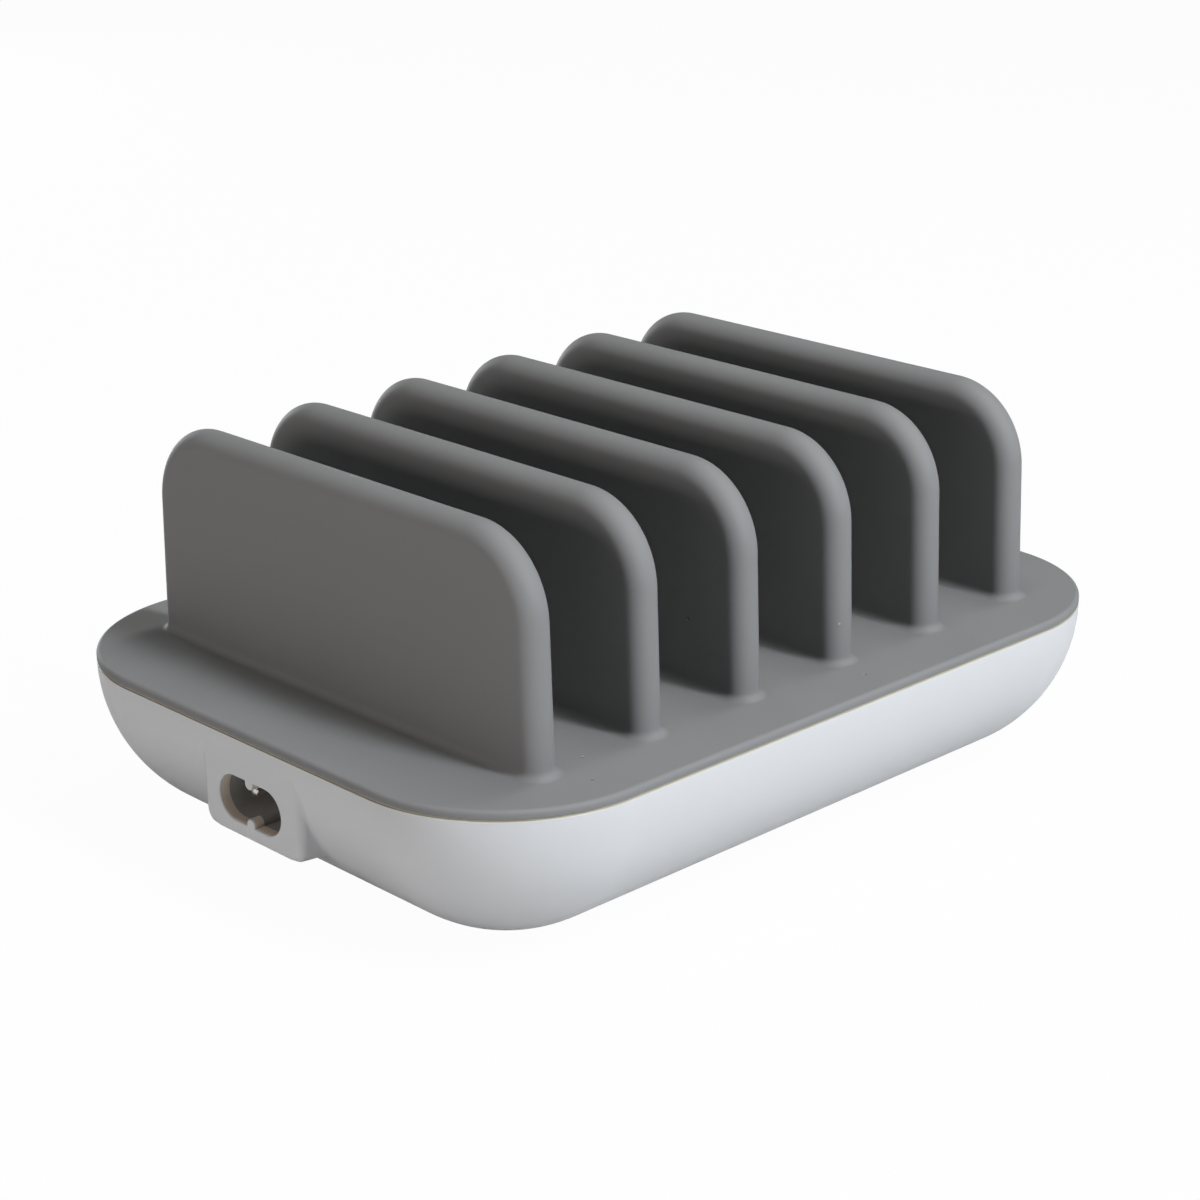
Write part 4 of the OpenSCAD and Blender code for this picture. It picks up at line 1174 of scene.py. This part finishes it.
pin_places = [(0, INLET_Y + side * PIN_PITCH / 2, 0) for side in (1, -1)]
pins = repeat(COPIES_ON_POINTS, points_host("pins", pin_places), inlet_pin().object("pin"),
              FINISHES["contact_metal"], "inlet_pin_pair")
feet = repeat(COPIES_ON_POINTS, points_host("feet", four_corners(FOOT_AT)),
              foot_shape().object("foot"), FINISHES["foot_rubber"], "rubber_foot_set")
shells = socket_row(socket_shell(), "socket_metal", "socket_shell_row")
tongues = socket_row(socket_tongue(), "socket_plastic", "socket_tongue_row")
contacts = socket_row(socket_contacts(), "contact_gold", "socket_contact_row")
SMALL_PIECES = (
    (pins, "inlet_pins", "contact_metal"),
    (feet, "rubber_feet", "foot_rubber"),
    (shells, "socket_shells", "socket_metal"),
    (tongues, "socket_tongues", "socket_plastic"),
    (contacts, "socket_contacts", "contact_gold"))
SMALL_SHARP_ANGLE = math.radians(35)
for piece, node, slot in SMALL_PIECES:
    piece.data.set_sharp_from_angle(angle=SMALL_SHARP_ANGLE)
    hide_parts(node)

for piece in (cover, shell, pins, feet, shells, tongues, contacts):
    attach(piece, "root")

# The other nodes keep their meshes and get the slot's finish
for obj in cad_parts.values():
    for slot in obj.material_slots:
        name = slot.material.name.split(".")[0]
        if name in FINISHES:
            slot.material = FINISHES[name]


# ---- stage, lamps and camera


# Levels and colours of the stage
FLOOR_COLOUR = (0.6, 0.588, 0.576, 1)
FLOOR_ROUGHNESS = 0.9
FLOOR_GLOW = 0.97
FLOOR_HALF = 6000.0
FLOOR_LEVEL = -0.02
WHITE = (1, 1, 1, 1)
WORLD_COLOUR = (0.95, 0.97, 1.0, 1)
WORLD_LEVEL = 0.01
LAMP_TARGET = (0, 0, 30)
KEY_TINT = (0.95, 1.0, 1.06)
FILL_TINT = (1.05, 1.0, 0.99)
TOP_TINT = (0.99, 1.0, 0.97)

# Lamps: name, place, width and height in millimetres, level and tint
LAMPS = (
    ("strip_above", (120, 0, 1000), (120, 700), 0.43, TOP_TINT),
    ("strip_front", (110, -700, 700), (120, 500), 0.68, KEY_TINT),
    ("strip_low", (50, -900, 450), (120, 400), 0.42, KEY_TINT),
    ("right_above", (700, 0, 700), (700, 700), 0.04, TOP_TINT),
    ("right_front", (300, -700, 700), (300, 400), 0.1, KEY_TINT),
    ("left_fill", (-1000, 100, 270), (500, 200), 0.275, FILL_TINT),
    ("rear_fill", (150, 1000, 90), (150, 100), 0.4, KEY_TINT))

# Camera of the photograph: its place in millimetres, its angles in degrees and its lens
CAMERA_PLACE = (-307.53, -322.95, 192.81)
CAMERA_AZIMUTH = math.radians(-43.619)
CAMERA_ELEVATION = math.radians(19.861)
CAMERA_ROLL = math.radians(-0.547)
CAMERA_LENS = 81.167
CAMERA_SENSOR = 36.0
CAMERA_NEAR = 0.01
CAMERA_FAR = 20.0


def floor_finish():
    """Pale matt floor that the camera sees nearly white, with a faint shadow left in it."""
    material = bpy.data.materials.new("pale_floor")
    material.use_nodes = True
    tree = Tree(material.node_tree)
    nodes = tree.tree.nodes
    matt = nodes["Principled BSDF"]
    matt.inputs["Base Color"].default_value = FLOOR_COLOUR
    matt.inputs["Roughness"].default_value = FLOOR_ROUGHNESS
    glow = tree.node("ShaderNodeEmission", {"Color": WHITE, "Strength": 1.0})
    path = tree.node("ShaderNodeLightPath")
    share = tree.math("MULTIPLY", path.outputs["Is Camera Ray"], FLOOR_GLOW)
    mix = tree.node("ShaderNodeMixShader", {0: share, 1: matt.outputs[0], 2: glow.outputs[0]})
    tree.feed(nodes["Material Output"].inputs["Surface"], mix.outputs[0])
    return material


def make_floor():
    """Level floor just under the feet."""
    shape = Shape()
    corners = ((-1, -1), (1, -1), (1, 1), (-1, 1))
    shape.cap(shape.row([(x * FLOOR_HALF, y * FLOOR_HALF, FLOOR_LEVEL) for x, y in corners]))
    floor = shape.object("floor")
    floor.data.materials.append(floor_finish())


def softbox(name, place, size, level, tint):
    """Lamp of the given width and height that lights a face turned to it to the given level."""
    lamp = bpy.data.lights.new(name, "AREA")
    lamp.shape = "RECTANGLE"
    lamp.size = size[0] * MM
    lamp.size_y = size[1] * MM
    way = Vector(LAMP_TARGET) - Vector(place)
    lamp.energy = level * (math.pi * way.length * MM) ** 2
    lamp.color = tint
    obj = link(bpy.data.objects.new(name, lamp))
    turn = way.to_track_quat("-Z", "Y").to_matrix().to_4x4()
    obj.matrix_world = Matrix.Translation(Vector(place) * MM) @ turn


def make_world():
    """Weak light from all round, which the camera sees as white."""
    world = bpy.data.worlds.new("studio")
    bpy.context.scene.world = world
    world.use_nodes = True
    tree = Tree(world.node_tree)
    back = tree.tree.nodes["Background"]
    path = tree.node("ShaderNodeLightPath").outputs
    clear = tree.math("MAXIMUM", path["Is Camera Ray"], path["Is Transmission Ray"])
    white = tree.node("ShaderNodeBackground", {"Color": WHITE, "Strength": 1.0})
    back.inputs["Color"].default_value = WORLD_COLOUR
    back.inputs["Strength"].default_value = WORLD_LEVEL
    mix = tree.node("ShaderNodeMixShader", {0: clear, 1: back.outputs[0], 2: white.outputs[0]})
    tree.feed(tree.tree.nodes["World Output"].inputs["Surface"], mix.outputs[0])


def make_camera():
    """Camera at the photograph's place."""
    data = bpy.data.cameras.new("camera")
    data.sensor_width = CAMERA_SENSOR
    data.lens = CAMERA_LENS
    data.clip_start = CAMERA_NEAR
    data.clip_end = CAMERA_FAR
    camera = link(bpy.data.objects.new("camera", data))
    turn = (Matrix.Rotation(CAMERA_AZIMUTH, 4, "Z")
            @ Matrix.Rotation(math.pi / 2 - CAMERA_ELEVATION, 4, "X")
            @ Matrix.Rotation(CAMERA_ROLL, 4, "Z"))
    camera.matrix_world = Matrix.Translation(Vector(CAMERA_PLACE) * MM) @ turn
    bpy.context.scene.camera = camera


make_floor()
make_world()
for lamp in LAMPS:
    softbox(*lamp)
make_camera()
bpy.context.scene.view_settings.view_transform = "Standard"
